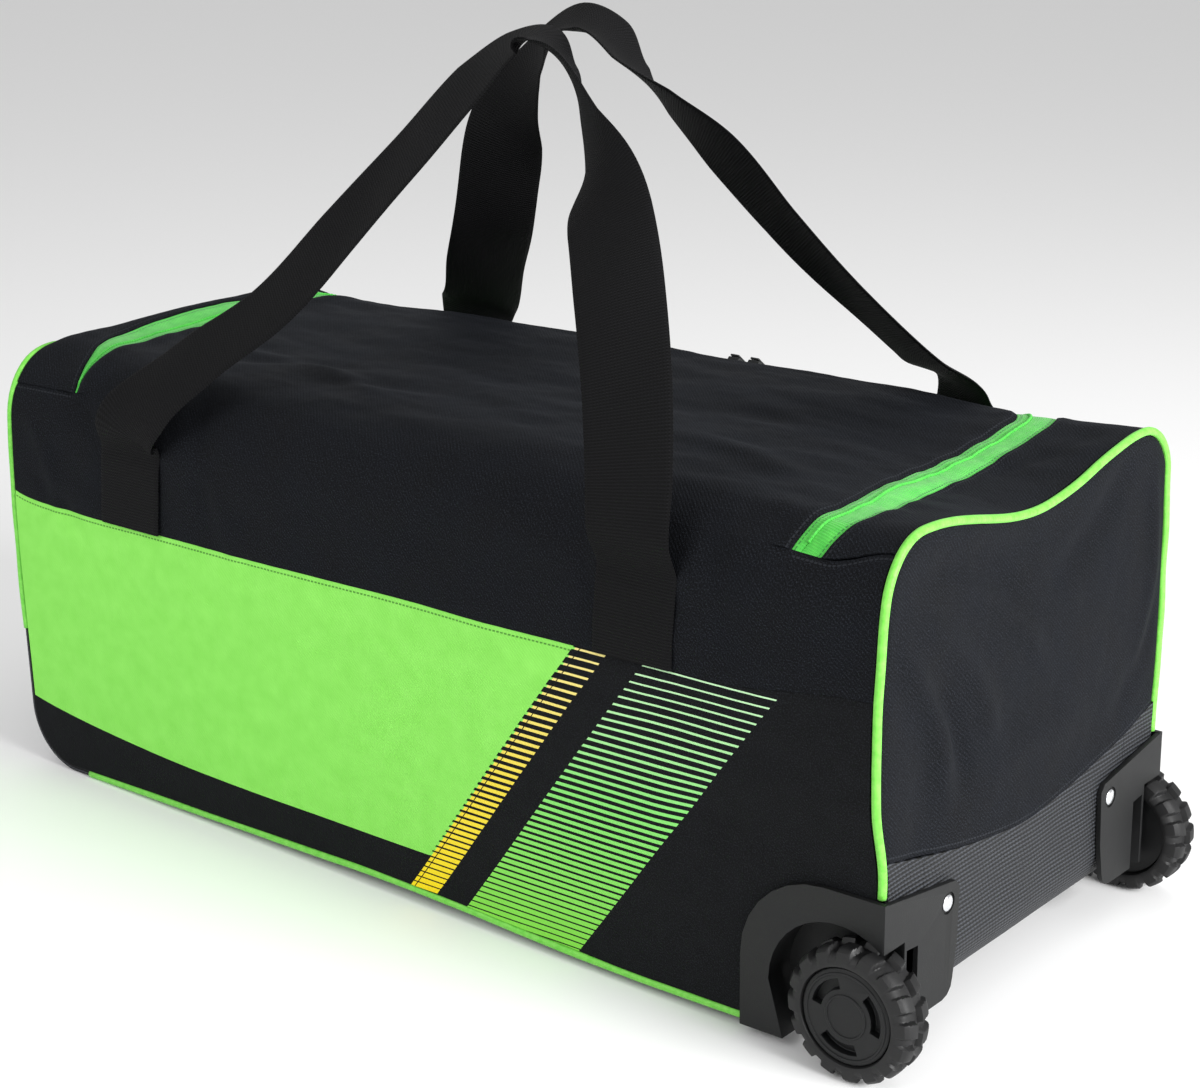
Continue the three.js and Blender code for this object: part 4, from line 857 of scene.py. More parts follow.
def lower_panel(name, girth, seam_height, material, nodes):
    """Lower wall: level rows between its top seam and a foot that follows the tow end's round, the
    bottom piping and the arch of the wheel housing."""
    radius = TOW_END_RADIUS - LOWER_EDGE
    cut = ARCH_RADIUS + 8
    turn = np.linspace(0, math.pi / 2, 20)
    arch = np.linspace(math.pi, math.pi / 2, 24)
    run = np.linspace(TOW_END_RADIUS, ARCH_X - cut, 170)[1:]
    x = np.concatenate([TOW_END_RADIUS - radius * np.cos(turn), run, ARCH_X + cut * np.cos(arch) + 0.5,
                        np.linspace(ARCH_X + 4, BODY_LENGTH - EDGE, 7)])
    foot = np.concatenate([TOW_END_RADIUS - radius * np.sin(turn), np.full(len(run), LOWER_EDGE),
                           ARCH_Z + cut * np.sin(arch), np.full(7, ARCH_Z + cut)])
    foot = foot - bottom_sag(x) * (foot < LOWER_EDGE + 1) * (x < HOUSING_TOW)
    share = np.linspace(0, 1, 56)[None, :]
    top = seam_height(x) - SEAM_GAP / 2
    z = foot[:, None] + (top - foot)[:, None] * share
    x = np.broadcast_to(x[:, None], z.shape)
    s = girth(x, z)
    fall = turned_edge(z.shape, 3, 0.9, ("last_column",))
    points, quads = sheet_mesh(skin(x, s, 0.5 * share - fall), skin(x, s, -WALL))
    uv = np.tile(np.stack([x, z], -1).reshape(-1, 2), (2, 1))
    seam = np.tile(np.stack([x, top[:, None] - z], -1).reshape(-1, 2), (2, 1))
    return make_piece(name, points, quads, material, nodes, uv=uv, seam=seam)


def deck_span(x):
    return back_girth(x, BACK_DECK_SEAM) - front_girth(x, FRONT_DECK_SEAM)


DECK_DEPTH = float(deck_span(np.array(BODY_LENGTH / 2)))


def deck(x, m):
    """Girth of the place on the deck at x and a distance m from its front seam."""
    return front_girth(x, FRONT_DECK_SEAM) + m / DECK_DEPTH * deck_span(x)


def zip_line():
    """Zip's centre line round the lid as x, m and the direction away from the lid: sides that drift
    to the wheel end near the front (by an amount, about a place, over a run), quarter-round corners and a
    straight back."""
    back = DECK_DEPTH - ZIP_BACK_INSET
    shoulder = back - ZIP_CORNER

    def side(along, drift, sign):
        amount, place, run = drift
        m = np.linspace(0, shoulder, 84)
        bell = amount * np.exp(-((m - place) / run) ** 2)
        slope = -2 * (m - place) / run ** 2 * bell
        length = np.hypot(1, slope)
        away_m = -sign * slope / length
        away_m[0] = 0
        return np.stack([along + bell, m, sign / length, away_m], -1)

    def corner(cx, start, end):
        a = np.linspace(start, end, 25)[1:]
        return np.stack([cx + ZIP_CORNER * np.cos(a), shoulder + ZIP_CORNER * np.sin(a), np.cos(a), np.sin(a)], -1)

    right, left = ZIP_WHEEL_SIDE - ZIP_CORNER, ZIP_TOW_SIDE + ZIP_CORNER
    x = np.linspace(right, left, 150)[1:]
    behind = np.stack([x, np.full_like(x, back), np.zeros_like(x), np.ones_like(x)], -1)
    return np.concatenate([
        side(ZIP_WHEEL_SIDE, ZIP_WHEEL_DRIFT, 1.0), corner(right, 0, math.pi / 2), behind,
        corner(left, math.pi / 2, math.pi), side(ZIP_TOW_SIDE, ZIP_TOW_DRIFT, -1.0)[::-1][1:]])


ZIP = zip_line()
ZIP_COUNT = len(ZIP)
ZIP_SIDE_COUNT = 84 + 24
ZIP_LENGTH = np.concatenate([[0], np.cumsum(np.hypot(*np.diff(ZIP[:, :2], axis=0).T))])


def zip_open():
    """Share of the zip's width at each place on its line: both cloth edges close in over the tapes
    towards the front ends, almost wholly at the towing end."""
    at_wheel = np.arange(ZIP_COUNT) * 2 < ZIP_COUNT
    least, run = np.where(at_wheel, *np.array([ZIP_WHEEL_TAPER, ZIP_TOW_TAPER])[:, :, None])
    return least + (1 - least) * smoothstep(ZIP[:, 1], -6, run)


ZIP_OPEN = zip_open()


def beside_zip(distance, taper=True):
    """x and m beside the zip's line at a distance from it, plus away from the lid."""
    reach = np.asarray(distance, float) * (ZIP_OPEN if taper else 1)
    return ZIP[:, 0] + ZIP[:, 2] * reach, ZIP[:, 1] + ZIP[:, 3] * reach


def zip_tape(name, inner, outer, sunk, node):
    """One tape of the zip as a band of six columns, lying a little below the cloth's edges."""
    lanes = [beside_zip(inner + (outer - inner) * k / 5) for k in range(6)]
    x = np.stack([lane[0] for lane in lanes], -1)
    s = deck(x, np.stack([lane[1] for lane in lanes], -1))
    across = np.abs(np.linspace(inner, outer, 6))
    arch = 0.5 * np.sin(np.linspace(0, math.pi, 6))
    points, quads = sheet_mesh(skin(x, s, arch - sunk), skin(x, s, -sunk - 1.4))
    along = np.broadcast_to(ZIP_LENGTH[:, None], x.shape)
    away = np.broadcast_to(across.max() - across[None, :], x.shape)
    uv = np.tile(np.stack([along, np.broadcast_to(across, x.shape)], -1).reshape(-1, 2), (2, 1))
    seam = np.tile(np.stack([along, away], -1).reshape(-1, 2), (2, 1))
    return make_piece(name, points, quads, ZIP_TAPE, [node], uv=uv, seam=seam)


def zip_coil():
    """Row of coils where the tapes meet: a thin cord swelling once for each turn of the coil."""
    line = ZIP[2:-2]
    x = np.interp(np.linspace(0, len(line) - 1, 2000), np.arange(len(line)), line[:, 0])
    m = np.interp(np.linspace(0, len(line) - 1, 2000), np.arange(len(line)), line[:, 1])
    path = skin(x, deck(x, m), -0.4)
    length = np.concatenate([[0], np.cumsum(np.linalg.norm(np.diff(path, axis=0), axis=1))])
    radius = 1.15 + 0.22 * np.sin(2 * math.pi * length / 3.2)
    points, quads, uv = tube_mesh(path, radius, 8)
    return make_piece("zip_coil", points, quads, ZIP_TAPE, [], uv=uv,
                      seam=np.full_like(uv, 500.0), crease=0)


def lid_panel():
    """Lid and upper front wall: a grid of level rows up the front and a grid between the zip's sides,
    meeting at the height of the deck's front seam. Past the zip's ends the wall's top is a real seam."""
    zx, zm = beside_zip(-(ZIP_GAP / 2 + ZIP_INNER_TAPE + SEAM_GAP))
    share = np.linspace(0, 1, 180)
    x = np.concatenate([np.linspace(EDGE, zx[-1], 18)[:-1], zx[-1] + (zx[0] - zx[-1]) * share,
                        np.linspace(zx[0], BODY_LENGTH - EDGE, 22)[1:]])
    z = front_seam(x) + SEAM_GAP / 2 + (FRONT_DECK_SEAM - front_seam(x)) * np.linspace(0, 1, 34)[:, None]
    z = np.minimum(z, FRONT_DECK_SEAM)
    x = np.broadcast_to(x, z.shape)
    rise = DECK_SEAM_RISE * smoothstep(x, zx[0] + 27, BODY_LENGTH - EDGE)
    s = front_girth(x, z) + rise * smoothstep(z, PRINT_HEIGHT + 30, FRONT_DECK_SEAM)
    outside = np.maximum(zx[-1] - x, x - zx[0])
    from_top = np.where(outside > 0, FRONT_DECK_SEAM - z, 500.0)
    fall = 1.2 * smoothstep(outside, 0, 10) * np.exp(-from_top / 2.5)
    wall = sheet_mesh(skin(x, s, -fall), skin(x, s, -WALL))
    wall_uv = np.stack([x, s], -1), np.stack([x, from_top], -1)

    k = np.arange(ZIP_SIDE_COUNT)
    wheel_x, tow_x = zx[k][:, None], zx[ZIP_COUNT - 1 - k][:, None]
    wheel_m, tow_m = zm[k][:, None], zm[ZIP_COUNT - 1 - k][:, None]
    x = tow_x + (wheel_x - tow_x) * share
    m = tow_m + (wheel_m - tow_m) * share
    s = deck(x, m)
    near = np.minimum(np.minimum(x - tow_x, wheel_x - x), zm[ZIP_SIDE_COUNT + 40] - m)
    lift = 1.6 * np.exp(-((near - 6) / 6) ** 2) - 0.9 * np.clip(1 - near / 2.2, 0, 1) ** 2
    lid = sheet_mesh(skin(x, s, lift), skin(x, s, -WALL))
    lid_uv = np.stack([x, s], -1), np.stack([m, near], -1)
    points, quads, maps = [], [], ([], [])
    for mesh, uvs in ((wall, wall_uv), (lid, lid_uv)):
        quads.append(outward(*mesh) + sum(len(p) for p in points))
        points.append(mesh[0])
        for layer, values in zip(maps, uvs):
            layer.append(np.tile(values.reshape(-1, 2), (2, 1)))
    make_piece("lid_cloth", np.concatenate(points), np.concatenate(quads), BODY_CLOTH, ["lid_and_front_panel"],
               uv=np.concatenate(maps[0]), seam=np.concatenate(maps[1]))


def gusset_panel():
    """Cloth from the zip out to the end pipings and round to the back seam."""
    zx, zm = beside_zip(ZIP_GAP / 2 + ZIP_OUTER_TAPE + SEAM_GAP)
    corner = 84 + 12
    i = np.arange(ZIP_COUNT)
    near = np.minimum(i, ZIP_COUNT - 1 - i)
    edge_x = np.where(i * 2 < ZIP_COUNT, BODY_LENGTH - EDGE, EDGE)
    share = (i - corner) / (ZIP_COUNT - 1 - 2 * corner)
    on_back = near > corner
    edge_x = np.where(on_back, BODY_LENGTH - EDGE - (BODY_LENGTH - 2 * EDGE) * share, edge_x)
    edge_m = np.where(on_back, DECK_DEPTH, DECK_DEPTH * np.minimum(near / corner, 1))
    t = np.linspace(0, 1, 20)[None, :]
    x = zx[:, None] + (edge_x - zx)[:, None] * t
    m = zm[:, None] + (edge_m - zm)[:, None] * t
    rise = DECK_SEAM_RISE * np.clip(1 - i / corner, 0, 1)[:, None]
    m = m + rise * smoothstep(x, zx[0] - 1, BODY_LENGTH - EDGE)
    away = t * np.hypot(edge_x - zx, edge_m - zm)[:, None]
    lift = 0.9 * np.exp(-((away - 5) / 4.5) ** 2)
    s = deck(x, m)
    points, quads = sheet_mesh(skin(x, s, lift), skin(x, s, -WALL))
    uv = np.tile(np.stack([x, s], -1).reshape(-1, 2), (2, 1))
    along = np.broadcast_to(ZIP_LENGTH[:, None], x.shape)
    seam = np.tile(np.stack([along, away], -1).reshape(-1, 2), (2, 1))
    make_piece("gusset_cloth", points, quads, BODY_CLOTH, ["top_gusset"], uv=uv, seam=seam)


def upper_back_panel():
    x = np.linspace(EDGE, BODY_LENGTH - EDGE, 190)[:, None]
    z = np.linspace(PRINT_HEIGHT + SEAM_GAP / 2, BACK_DECK_SEAM - 0.05, 22)[None, :]
    x, z = np.broadcast_arrays(x, z)
    cloth_piece("upper_back_cloth", x, back_girth(x, z), BODY_CLOTH, ["back_upper_panel"],
                seam=(x, z - PRINT_HEIGHT), edges=("first_column",))


# Ends

def scuff_top(y, edge_height, middle):
    t = np.abs(2 * y / BODY_DEPTH - 1)
    return middle + (edge_height - middle) * t ** 1.6


def end_swell(end, y, z):
    """Outward swell of an end: bells of END_DENTS, folds of END_FOLDS and soft wrinkles, all dying
    away at the sewn edges."""
    out = np.zeros(np.broadcast(y, z).shape)
    for which, cy, cz, spread_y, spread_z, depth in END_DENTS:
        if which == end:
            out = out + depth * BULGE * np.exp(-((y / BODY_DEPTH - cy) / spread_y) ** 2
                                               - ((z / BODY_HEIGHT - cz) / spread_z) ** 2)
    rim = np.minimum(np.minimum(y, BODY_DEPTH - y), BODY_HEIGHT - z)
    out = out * smoothstep(rim, 0, 45)
    folds = 0.8 * ripples(y, z, 21 + end, 90) + 0.2 * ripples(y, z, 31 + end, 34)
    for which, *fold in END_FOLDS:
        if which == end:
            folds = folds + ridge(y, z, fold)
    return out + folds * smoothstep(rim, 0, 22)


def over_the_top(c, round_steps=16, top_steps=70):
    """Girths over the top of a section, closer together on its rounds."""
    return np.concatenate([
        np.linspace(0, c["s1"], round_steps, endpoint=False),
        np.linspace(c["s1"], c["s2"], top_steps, endpoint=False),
        np.linspace(c["s2"], c["s3"], round_steps + 1)])


def end_edge_y(x, z, inset, back):
    girth = back_girth if back else front_girth
    return skin(x, girth(x, z), -inset, relief=0)[..., 1]


def end_panel(name, end, scuff, node):
    """Upper end wall: columns from the curved seam of the scuff panel up to the piping."""
    x = np.array(end * BODY_LENGTH)
    out = 1 if end == 1 else -1
    c = {key: float(value) for key, value in section(x).items()}
    inset = EDGE + SEAM_GAP
    foot = c["top"] - max(c["front_round"], c["back_round"])
    tops = skin(x, over_the_top(c), -inset, relief=0)

    def edges(z):
        low = np.minimum(z, foot)
        return end_edge_y(x, low, inset, False), end_edge_y(x, low, inset, True)

    front, back = edges(tops[:, 2])
    share = ((tops[:, 1] - front) / (back - front))[:, None]
    z0 = scuff_top(share * BODY_DEPTH, *scuff) + SEAM_GAP / 2
    t = np.linspace(0, 1, 60)[None, :]
    z = z0 + (tops[:, 2][:, None] - z0) * t
    front, back = edges(z)
    y = front + share * (back - front)
    rim = np.minimum(np.minimum(y - front, back - y), tops[:, 2][:, None] - z)
    tuck = 1.6 * np.exp(-np.clip(rim, 0, None) / 3.0)
    face = x + out * (end_swell(end, y, z) - tuck)
    outer = np.stack([face, y, z], -1)
    inner = np.stack([x + out * (end_swell(end, y, z) - WALL - 1.6), y, z], -1)
    points, quads = sheet_mesh(outer, inner)
    uv = np.tile(np.stack([y, z], -1).reshape(-1, 2), (2, 1))
    seam = np.tile(np.stack([y, z - z0], -1).reshape(-1, 2), (2, 1))
    make_piece(name, points, quads, BODY_CLOTH, [node], uv=uv, seam=seam)


def lower_round(end, radius, run, offset):
    """Place on an end's rounded foot: run goes up (plus) or round under (minus) from its start."""
    x0 = end * BODY_LENGTH
    out = 1 if end == 1 else -1
    a = np.clip(-run / radius, 0, math.pi / 2)
    beyond = np.maximum(-run - radius * math.pi / 2, 0)
    x = x0 + out * (-radius - beyond + (radius + offset) * np.cos(a))
    z = radius + np.maximum(run, 0) - (radius + offset) * np.sin(a)
    return x, z


def scuff_panel(name, end, radius, scuff, notch, node):
    """Ribbed panel from its curved top edge down and round under the base, with narrower wings over
    the wheel housings where there are any."""
    inner = notch / BODY_DEPTH
    under = -radius * math.pi / 2
    spans = [(inner, 1 - inner, under)]
    if notch:
        spans += [(0.0, inner - SEAM_GAP / BODY_DEPTH, NOTCH_TOP - radius),
                  (1 - inner + SEAM_GAP / BODY_DEPTH, 1.0, NOTCH_TOP - radius)]
    meshes = []
    for low, high, bottom in spans:
        share = np.linspace(low, high, 60 if bottom == under else 12)[:, None]
        top = scuff_top(share * BODY_DEPTH, *scuff) - SEAM_GAP - radius
        t = np.linspace(0, 1, 60)[None, :]
        run = top + (bottom - top) * t
        y_guess = share * BODY_DEPTH
        wave = 0.7 * ripples(y_guess, run, 41, 70) * smoothstep(run, under + 10, 20) * smoothstep(top - run, 0, 12)
        faces = []
        for offset in (wave, wave * 0 - WALL):
            x, z = lower_round(end, radius, run, offset)
            height = np.maximum(z, EDGE)
            front = end_edge_y(np.array(end * BODY_LENGTH), height, EDGE, False)
            back = end_edge_y(np.array(end * BODY_LENGTH), height, EDGE, True)
            faces.append(np.stack(np.broadcast_arrays(x, front + share * (back - front), z), -1))
        points, quads = sheet_mesh(*faces)
        uv = np.tile(np.stack(np.broadcast_arrays(share * BODY_DEPTH, run), -1).reshape(-1, 2), (2, 1))
        meshes.append((points, outward(points, quads), uv))
    join_meshes(name, meshes, RIBBED_CLOTH, [node])


def join_meshes(name, meshes, material, nodes, body="root"):
    """One piece from several (points, quads, uv) meshes."""
    starts = np.cumsum([0] + [len(m[0]) for m in meshes[:-1]])
    points = np.concatenate([m[0] for m in meshes])
    quads = np.concatenate([m[1] + start for m, start in zip(meshes, starts)])
    uv = np.concatenate([m[2] for m in meshes])
    return make_piece(name, points, quads, material, nodes, body=body, uv=uv)


def end_piping(name, end, z0, node):
    """Piping over an end, a cord sunk into the seam along the section's outline."""
    edge_x = np.array(end * BODY_LENGTH)
    c = {key: float(value) for key, value in section(edge_x).items()}
    low = float(front_girth(edge_x, np.array(z0)))
    high = float(back_girth(edge_x, np.array(z0)))
    girth = np.concatenate([np.linspace(low, 0, 50, endpoint=False), over_the_top(c)[:-1],
                            np.linspace(c["s3"], high, 50)])
    path = skin(edge_x, girth, -BEAD_DEPTH, relief=0)
    wander = 0.5 * ripples(girth, 0 * girth, 51 + end, 60)
    path[:, 0] = (BODY_LENGTH - BEAD_DEPTH if end == 1 else BEAD_DEPTH) + wander
    points, quads, uv = tube_mesh(path, BEAD_RADIUS, 16)
    make_piece(name, points, quads, PIPING_COVER, [node], uv=uv, crease=0)


def bottom_piping(name, back, node):
    x = np.linspace(TOW_END_RADIUS + BINDING_RUN + SEAM_GAP, HOUSING_TOW - SEAM_GAP, 130)
    y = np.full_like(x, BODY_DEPTH - BEAD_DEPTH if back else BEAD_DEPTH)
    z = BEAD_RADIUS - BOTTOM_BEAD_PROUD - bottom_sag(x) + 0.2 * ripples(x, 0 * x, 61, 80)
    points, quads, uv = tube_mesh(np.stack([x, y, z], -1), BEAD_RADIUS, 16)
    make_piece(name, points, quads, PIPING_COVER, [node], uv=uv, crease=0)


def tow_binding(name, back, node):
    """Black binding round the tow end's lower corner."""
    up = TOW_BINDING_TOP - SEAM_GAP - TOW_END_RADIUS
    under = -TOW_END_RADIUS * math.pi / 2 - BINDING_RUN
    inset = EDGE - SEAM_GAP - BINDING_RADIUS
    run = np.linspace(up, under, 90)
    x, z = lower_round(0, TOW_END_RADIUS, run, -inset)
    y = end_edge_y(np.array(0.0), np.maximum(z, EDGE), inset, back)
    points, quads, uv = tube_mesh(np.stack([x, y, z], -1), BINDING_RADIUS, 14)
    make_piece(name, points, quads, RIBBED_CLOTH, [node], uv=uv, crease=0)


# Handles

def handle(name, route, legs, girth, outward_sign, node):
    """Webbing strap: its profile, a thin rounded oblong with a slight bow, is carried along the route
    from one sewn leg to the other."""
    lift = STRAP_CLEAR + STRAP_THICKNESS / 2

    def leg(x):
        z = np.linspace(PRINT_HEIGHT + SEAM_GAP, SEWN_TOP, 6)

        def place(shift):
            at = np.full_like(z, x + shift * STRAP_WIDTH)
            return skin(at, girth(at, z), lift, relief=0)
        across = place(0.5) - place(-0.5)
        centre = np.full_like(z, x)
        on_skin = skin(centre, girth(centre, z), lift, relief=0.6)
        return on_skin, across / np.linalg.norm(across, axis=1, keepdims=True)

    first, last = leg(legs[0]), leg(legs[1])
    rows = np.array([(r[0] * BODY_LENGTH, r[1] * BODY_DEPTH, BODY_HEIGHT + r[2] * HANDLE_RISE) for r in route])
    turns = np.array([r[3] for r in route], float)
    path = smooth_route(np.concatenate([first[0], rows, last[0][::-1]]))
    across = smooth_route(np.concatenate([first[1], turns, last[1][::-1]]))
    along = tangents(path)
    across = across - along * np.sum(across * along, axis=1, keepdims=True)
    across = across / np.linalg.norm(across, axis=1, keepdims=True)
    face = np.cross(across, along) * outward_sign
    length = np.concatenate([[0], np.cumsum(np.linalg.norm(np.diff(path, axis=0), axis=1))])
    free = smoothstep(length, 62, 110) * (1 - smoothstep(length, length[-1] - 110, length[-1] - 62))
    w = np.concatenate([np.linspace(-0.5, 0.5, 27), np.linspace(0.5, -0.5, 27)])
    side = np.concatenate([np.full(27, 0.5), np.full(27, -0.5)])
    edge_fall = np.sqrt(np.clip(1 - np.clip((np.abs(w) - 0.47) / 0.03, 0, 1) ** 2, 0, 1))
    width = STRAP_WIDTH * (1 - 0.02 * free)[:, None] * w[None, :]
    bow = 2.2 * free[:, None] * (4 * w[None, :] ** 2 - 0.4) * np.sin(length / 70)[:, None]
    ripple = 0.5 * free[:, None] * np.sin(length[:, None] / 23 + 5 * w[None, :])
    height = STRAP_THICKNESS * (side * (0.25 + 0.75 * edge_fall))[None, :] + bow + ripple
    rings = path[:, None] + across[:, None] * width[..., None] + face[:, None] * height[..., None]
    flat = [path[k] + across[k] * (w * STRAP_WIDTH)[:, None] for k in (0, -1)]
    rings = np.concatenate([flat[0][None], rings, flat[1][None]])
    length = np.concatenate([length[:1], length, length[-1:]])
    uv = np.stack(np.broadcast_arrays(length[:, None], w[None, :] * STRAP_WIDTH), -1).reshape(-1, 2)
    quads = grid_quads(len(rings), len(w), wrap_columns=True)
    make_piece(name, rings.reshape(-1, 3), quads, WEBBING, [node], uv=uv)


# Wheels, housings and fittings

def on_side(points, quads, back):
    """Level-frame points for the front corner, or mirrored to the back one."""
    if not back:
        return points, quads
    mirrored = points * [1, -1, 1] + [0, BODY_DEPTH, 0]
    return mirrored, quads[:, ::-1]


def tyre_mesh():
    """Chunky tyre: a closed profile round the axle whose radius steps up over two staggered rows of
    tread blocks and dips between them."""
    profile = np.array([
        (-13.5, 33.4), (-15.0, 34.2), (-15.5, 35.9), (-15.2, 37.6), (-14.4, 39.2), (-13.4, 40.6), (-12.2, 41.8),
        (-11.0, 42.5), (-9.6, 43.0), (-7.6, 43.3), (-5.4, 43.4), (-3.2, 43.4), (-1.2, 43.4), (1.2, 43.4),
        (3.2, 43.4), (5.4, 43.4), (7.6, 43.3), (9.6, 43.0), (11.0, 42.5), (12.2, 41.8), (13.4, 40.6), (14.4, 39.2),
        (15.2, 37.6), (15.5, 35.9), (15.0, 34.2), (13.5, 33.4)])
    y, r = profile[:, 0], profile[:, 1]
    a = np.linspace(0, 2 * math.pi, LUG_COUNT * 26, endpoint=False)[:, None]

    def blocks(phase, share, edge):
        t = np.abs(((a * LUG_COUNT / (2 * math.pi) + phase + 0.5) % 1) - 0.5)
        return 1 - smoothstep(t, share / 2 - edge, share / 2 + edge)

    skew = 0.2 * y[None, :] / TYRE_HALF_WIDTH
    outer_row = blocks(skew, 0.62, 0.05) * smoothstep(-y, 1.4, 2.4)[None, :]
    inner_row = blocks(0.5 - skew, 0.62, 0.05) * smoothstep(y, 1.4, 2.4)[None, :]
    flank = np.clip((r - 37) / 4, 0, 1)[None, :]
    lift = TREAD_DEPTH * np.maximum(outer_row, inner_row) * flank
    radius = r[None, :] + lift
    sideways = y[None, :] * (1 + 0.05 * np.maximum(outer_row, inner_row) * (flank < 1) * flank)
    points = np.stack([radius * np.cos(a), sideways + 0 * a, radius * np.sin(a)], -1)
    quads = grid_quads(len(a), len(y), wrap_rows=True, wrap_columns=True)
    return points.reshape(-1, 3) + [WHEEL_X, WHEEL_MID_Y, WHEEL_Z], quads


def hub_ring_mesh(radius, height):
    """Thin raised ring on the hub's face."""
    a = np.linspace(0, 2 * math.pi, 96, endpoint=False)
    b = np.linspace(0, 2 * math.pi, 12, endpoint=False)
    face = WHEEL_MID_Y - TYRE_HALF_WIDTH + 1.2
    ring = radius + 0.9 * np.cos(b)[None, :]
    points = np.stack(np.broadcast_arrays(
        WHEEL_X + ring * np.cos(a)[:, None], face - height * np.sin(b)[None, :],
        WHEEL_Z + ring * np.sin(a)[:, None]), -1)
    return points.reshape(-1, 3), grid_quads(96, 12, wrap_rows=True, wrap_columns=True)


def rivet_mesh():
    """Low dome on a short shank: a quarter ellipse turned about the x axis."""
    rise = 2.2
    a = np.linspace(0, math.pi / 2 - 0.01, 16)
    profile = [(0.01, SEAM_GAP), (RIVET_RADIUS, SEAM_GAP)]
    profile += [(RIVET_RADIUS * math.cos(t), SEAM_GAP + 0.4 + (rise - 0.4) * math.sin(t)) for t in a]
    profile += [(0.01, SEAM_GAP + rise)]
    points, quads = revolved(profile, 40, about_x=True)
    return points + [PLATE_OUT_X - RIVET_RECESS_DEPTH, RIVET_Y, RIVET_Z], quads


def from_cad(node, name, material, bevel_mm, body="root"):
    """Merged copy of a CAD node with its flat facets joined and its edges rounded by a bevel."""
    mesh = frame["nodes"][node].data.copy()
    mesh.materials.clear()
    mesh.materials.append(material)
    shape = bmesh.new()
    shape.from_mesh(mesh)
    bmesh.ops.remove_doubles(shape, verts=shape.verts, dist=2e-5)
    bmesh.ops.dissolve_limit(shape, angle_limit=math.radians(1.5), verts=shape.verts, edges=shape.edges)
    shape.to_mesh(mesh)
    shape.free()
    mesh.polygons.foreach_set("use_smooth", np.ones(len(mesh.polygons), bool))
    piece = bpy.data.objects.new(name, mesh)
    bpy.context.collection.objects.link(piece)
    rounding = piece.modifiers.new("rounded_edges", "BEVEL")
    rounding.width = bevel_mm / 1000
    rounding.segments = 2
    rounding.limit_method = "ANGLE"
    rounding.angle_limit = math.radians(38)
    rounding.harden_normals = True
    mesh.set_sharp_from_angle(angle=math.radians(38))
    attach(piece, body)
    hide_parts(node)
    return piece


def build_body():
    lower_panel("printed_front_cloth", front_girth, front_seam, PRINTED_CLOTH, ["front_printed_panel"])
    lower_panel("lower_back_cloth", back_girth, lambda x: PRINT_HEIGHT + 0 * x, BODY_CLOTH, ["back_lower_panel"])
    lid_panel()
    gusset_panel()
    upper_back_panel()
    zip_tape("zip_tape_by_lid", -ZIP_GAP / 2, -ZIP_GAP / 2 - ZIP_INNER_TAPE, 0.9, "zip_inner_tape")
    zip_tape("zip_tape_by_gusset", ZIP_GAP / 2, ZIP_GAP / 2 + ZIP_OUTER_TAPE, 0.9, "zip_outer_tape")
    zip_coil()
    end_panel("wheel_end_cloth", 1, WHEEL_SCUFF, "wheel_end_panel")
    end_panel("tow_end_cloth", 0, TOW_SCUFF, "tow_end_panel")
    scuff_panel("wheel_end_ribbed_cloth", 1, WHEEL_END_RADIUS, WHEEL_SCUFF, NOTCH_REACH, "wheel_end_scuff")
    scuff_panel("tow_end_ribbed_cloth", 0, TOW_END_RADIUS, TOW_SCUFF, 0, "tow_end_scuff")
    from_cad("base_panel", "base_board", HOUSING_PLASTIC, 0.6)


def build_trim():
    end_piping("wheel_end_cord", 1, HOUSING_TOP + 1 + SEAM_GAP, "wheel_end_piping")
    end_piping("tow_end_cord", 0, TOW_BINDING_TOP + SEAM_GAP, "tow_end_piping")
    bottom_piping("front_bottom_cord", False, "front_bottom_piping")
    bottom_piping("back_bottom_cord", True, "back_bottom_piping")
    tow_binding("front_corner_binding", False, "tow_binding_front")
    tow_binding("back_corner_binding", True, "tow_binding_back")
    for place in ("tow", "wheel"):
        from_cad(f"zip_{place}_slider", f"{place}_slider_body", SLIDER_METAL, 1.3)
        from_cad(f"zip_{place}_pull", f"{place}_slider_tab", SLIDER_METAL, 0.5)


def build_handles():
    handle("front_strap", FRONT_ROUTE, FRONT_LEGS, front_girth, -1, "front_handle")
    handle("back_strap", BACK_ROUTE, BACK_LEGS, back_girth, 1, "back_handle")


def build_wheels():
    for place, back in (("front", False), ("back", True)):
        wheel = f"wheel_{place}"
        points, quads = on_side(*tyre_mesh(), back)
        make_piece(f"{place}_tyre_rubber", points, quads, TYRE_RUBBER, [f"tyre_{place}"], body=wheel,
                   crease=32)
        from_cad(f"hub_{place}", f"{place}_hub_cap", HUB_PLASTIC, 0.7, body=wheel)
        for radius in (14.5, 29.5):
            points, quads = on_side(*hub_ring_mesh(radius, 0.8), back)
            make_piece(f"{place}_hub_ring_{radius:.0f}", points, quads, HUB_PLASTIC, [], body=wheel)
        from_cad(f"wheel_housing_{place}", f"{place}_housing_shell", HOUSING_PLASTIC, 1.1)
        from_cad(f"axle_{place}", f"{place}_axle_pin", AXLE_STEEL, 0.5)
        points, quads = on_side(*rivet_mesh(), back)
        make_piece(f"{place}_rivet_head", points, quads, RIVET_STEEL, [f"rivet_{place}"],
                   crease=60)


# Setting

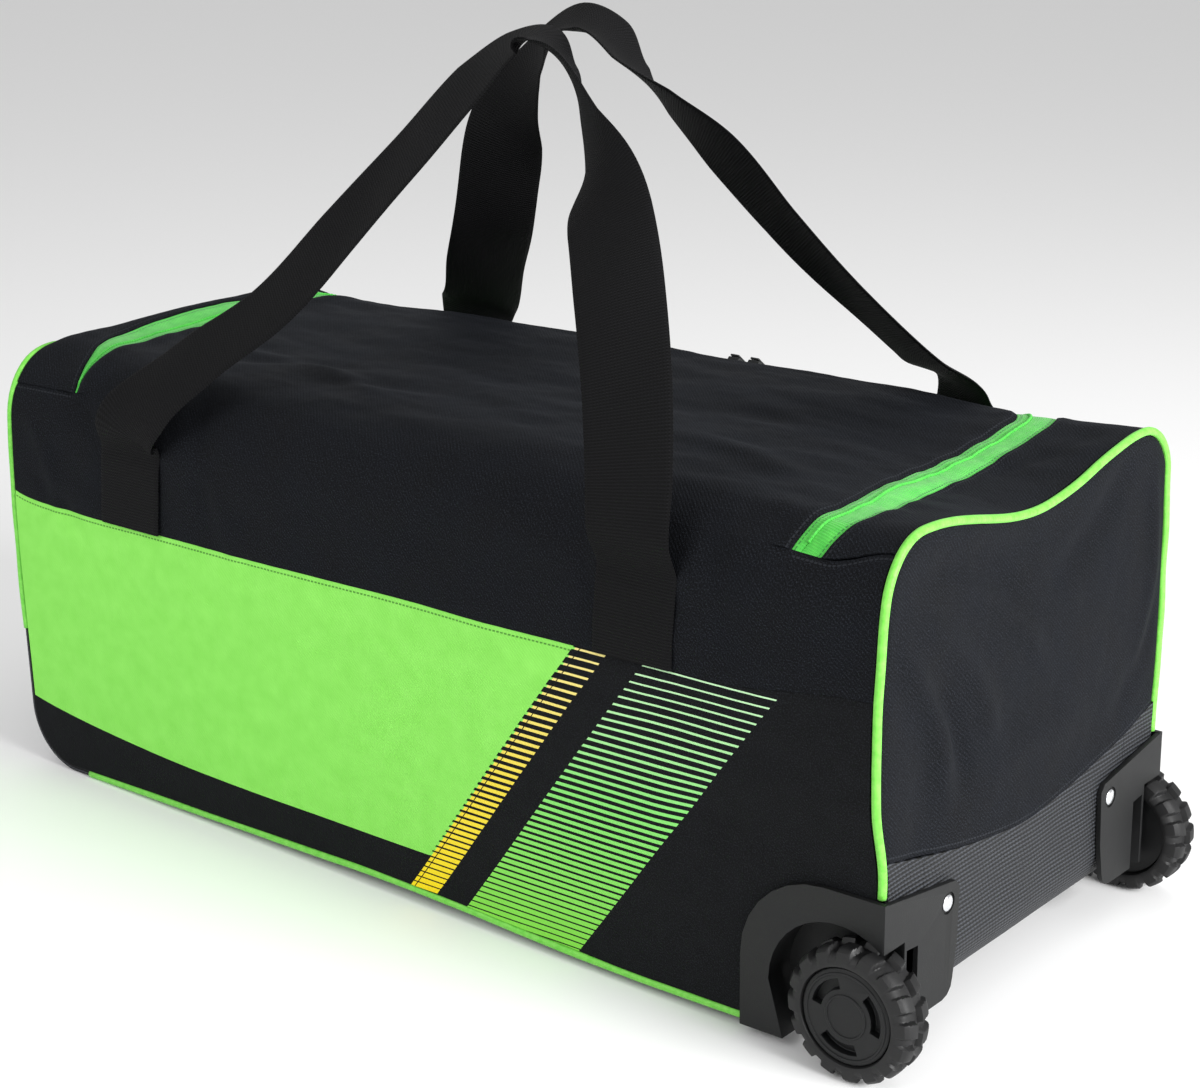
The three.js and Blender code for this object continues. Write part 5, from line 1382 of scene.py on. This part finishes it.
def studio():
    """Pale floor and soft light: a broad key from high on the left, a fill from the right and a rim."""
    mesh = bpy.data.meshes.new("studio_floor")
    mesh.from_pydata([(-20, -20, 0), (20, -20, 0), (20, 20, 0), (-20, 20, 0)], [], [(0, 1, 2, 3)])
    floor = bpy.data.objects.new("studio_floor", mesh)
    bpy.context.collection.objects.link(floor)
    paint, _, shader = new_material("pale_floor_paint", Roughness=0.9, Specular_IOR_Level=0.1)
    shader.inputs["Base Color"].default_value = linear("#f6f6f6")
    mesh.materials.append(paint)
    world = bpy.data.worlds.new("studio_world")
    world.use_nodes = True
    world.node_tree.nodes["Background"].inputs[0].default_value = (1, 1, 1, 1)
    world.node_tree.nodes["Background"].inputs[1].default_value = 0.62
    bpy.context.scene.world = world
    lamps = (
        ("key_light", (-0.7, -2.4, 1.7), 1.8, 28),
        ("fill_light", (2.7, -0.1, 1.1), 1.6, 118),
        ("top_light", (0.2, 0.9, 2.3), 1.4, 6),
    )
    for name, place, size, power in lamps:
        data = bpy.data.lights.new(name, "AREA")
        data.shape = "DISK"
        data.size = size
        data.energy = power
        lamp = bpy.data.objects.new(name, data)
        lamp.location = place
        aim = Vector((0, 0, 0.2)) - Vector(place)
        lamp.rotation_euler = aim.to_track_quat("-Z", "Y").to_euler()
        bpy.context.collection.objects.link(lamp)


def photo_camera():
    """Camera of the photograph: back is the direction from the bag to it, then rolled about it."""
    a, e, roll = (math.radians(v) for v in (CAMERA_AZIMUTH, CAMERA_ELEVATION, CAMERA_ROLL))
    back = np.array([math.sin(a) * math.cos(e), -math.cos(a) * math.cos(e), math.sin(e)])
    right = np.cross(-back, [0, 0, 1])
    right = right / np.linalg.norm(right)
    up = np.cross(right, -back)
    turned_right = math.cos(roll) * right + math.sin(roll) * up
    turned_up = -math.sin(roll) * right + math.cos(roll) * up
    axes = [TURN @ axis for axis in (turned_right, turned_up, back)]
    data = bpy.data.cameras.new("photo_camera")
    data.lens = CAMERA_LENS
    data.sensor_width = 36.0
    data.sensor_fit = "HORIZONTAL"
    data.clip_start = 0.05
    camera = bpy.data.objects.new("photo_camera", data)
    turn = Matrix([[axes[k][row] for k in range(3)] for row in range(3)]).to_4x4()
    camera.matrix_world = Matrix.Translation(into_frame(CAMERA_AT)) @ turn
    bpy.context.collection.objects.link(camera)
    bpy.context.scene.camera = camera


build_body()
build_trim()
build_handles()
build_wheels()
studio()
photo_camera()
bpy.context.scene.view_settings.view_transform = "Standard"
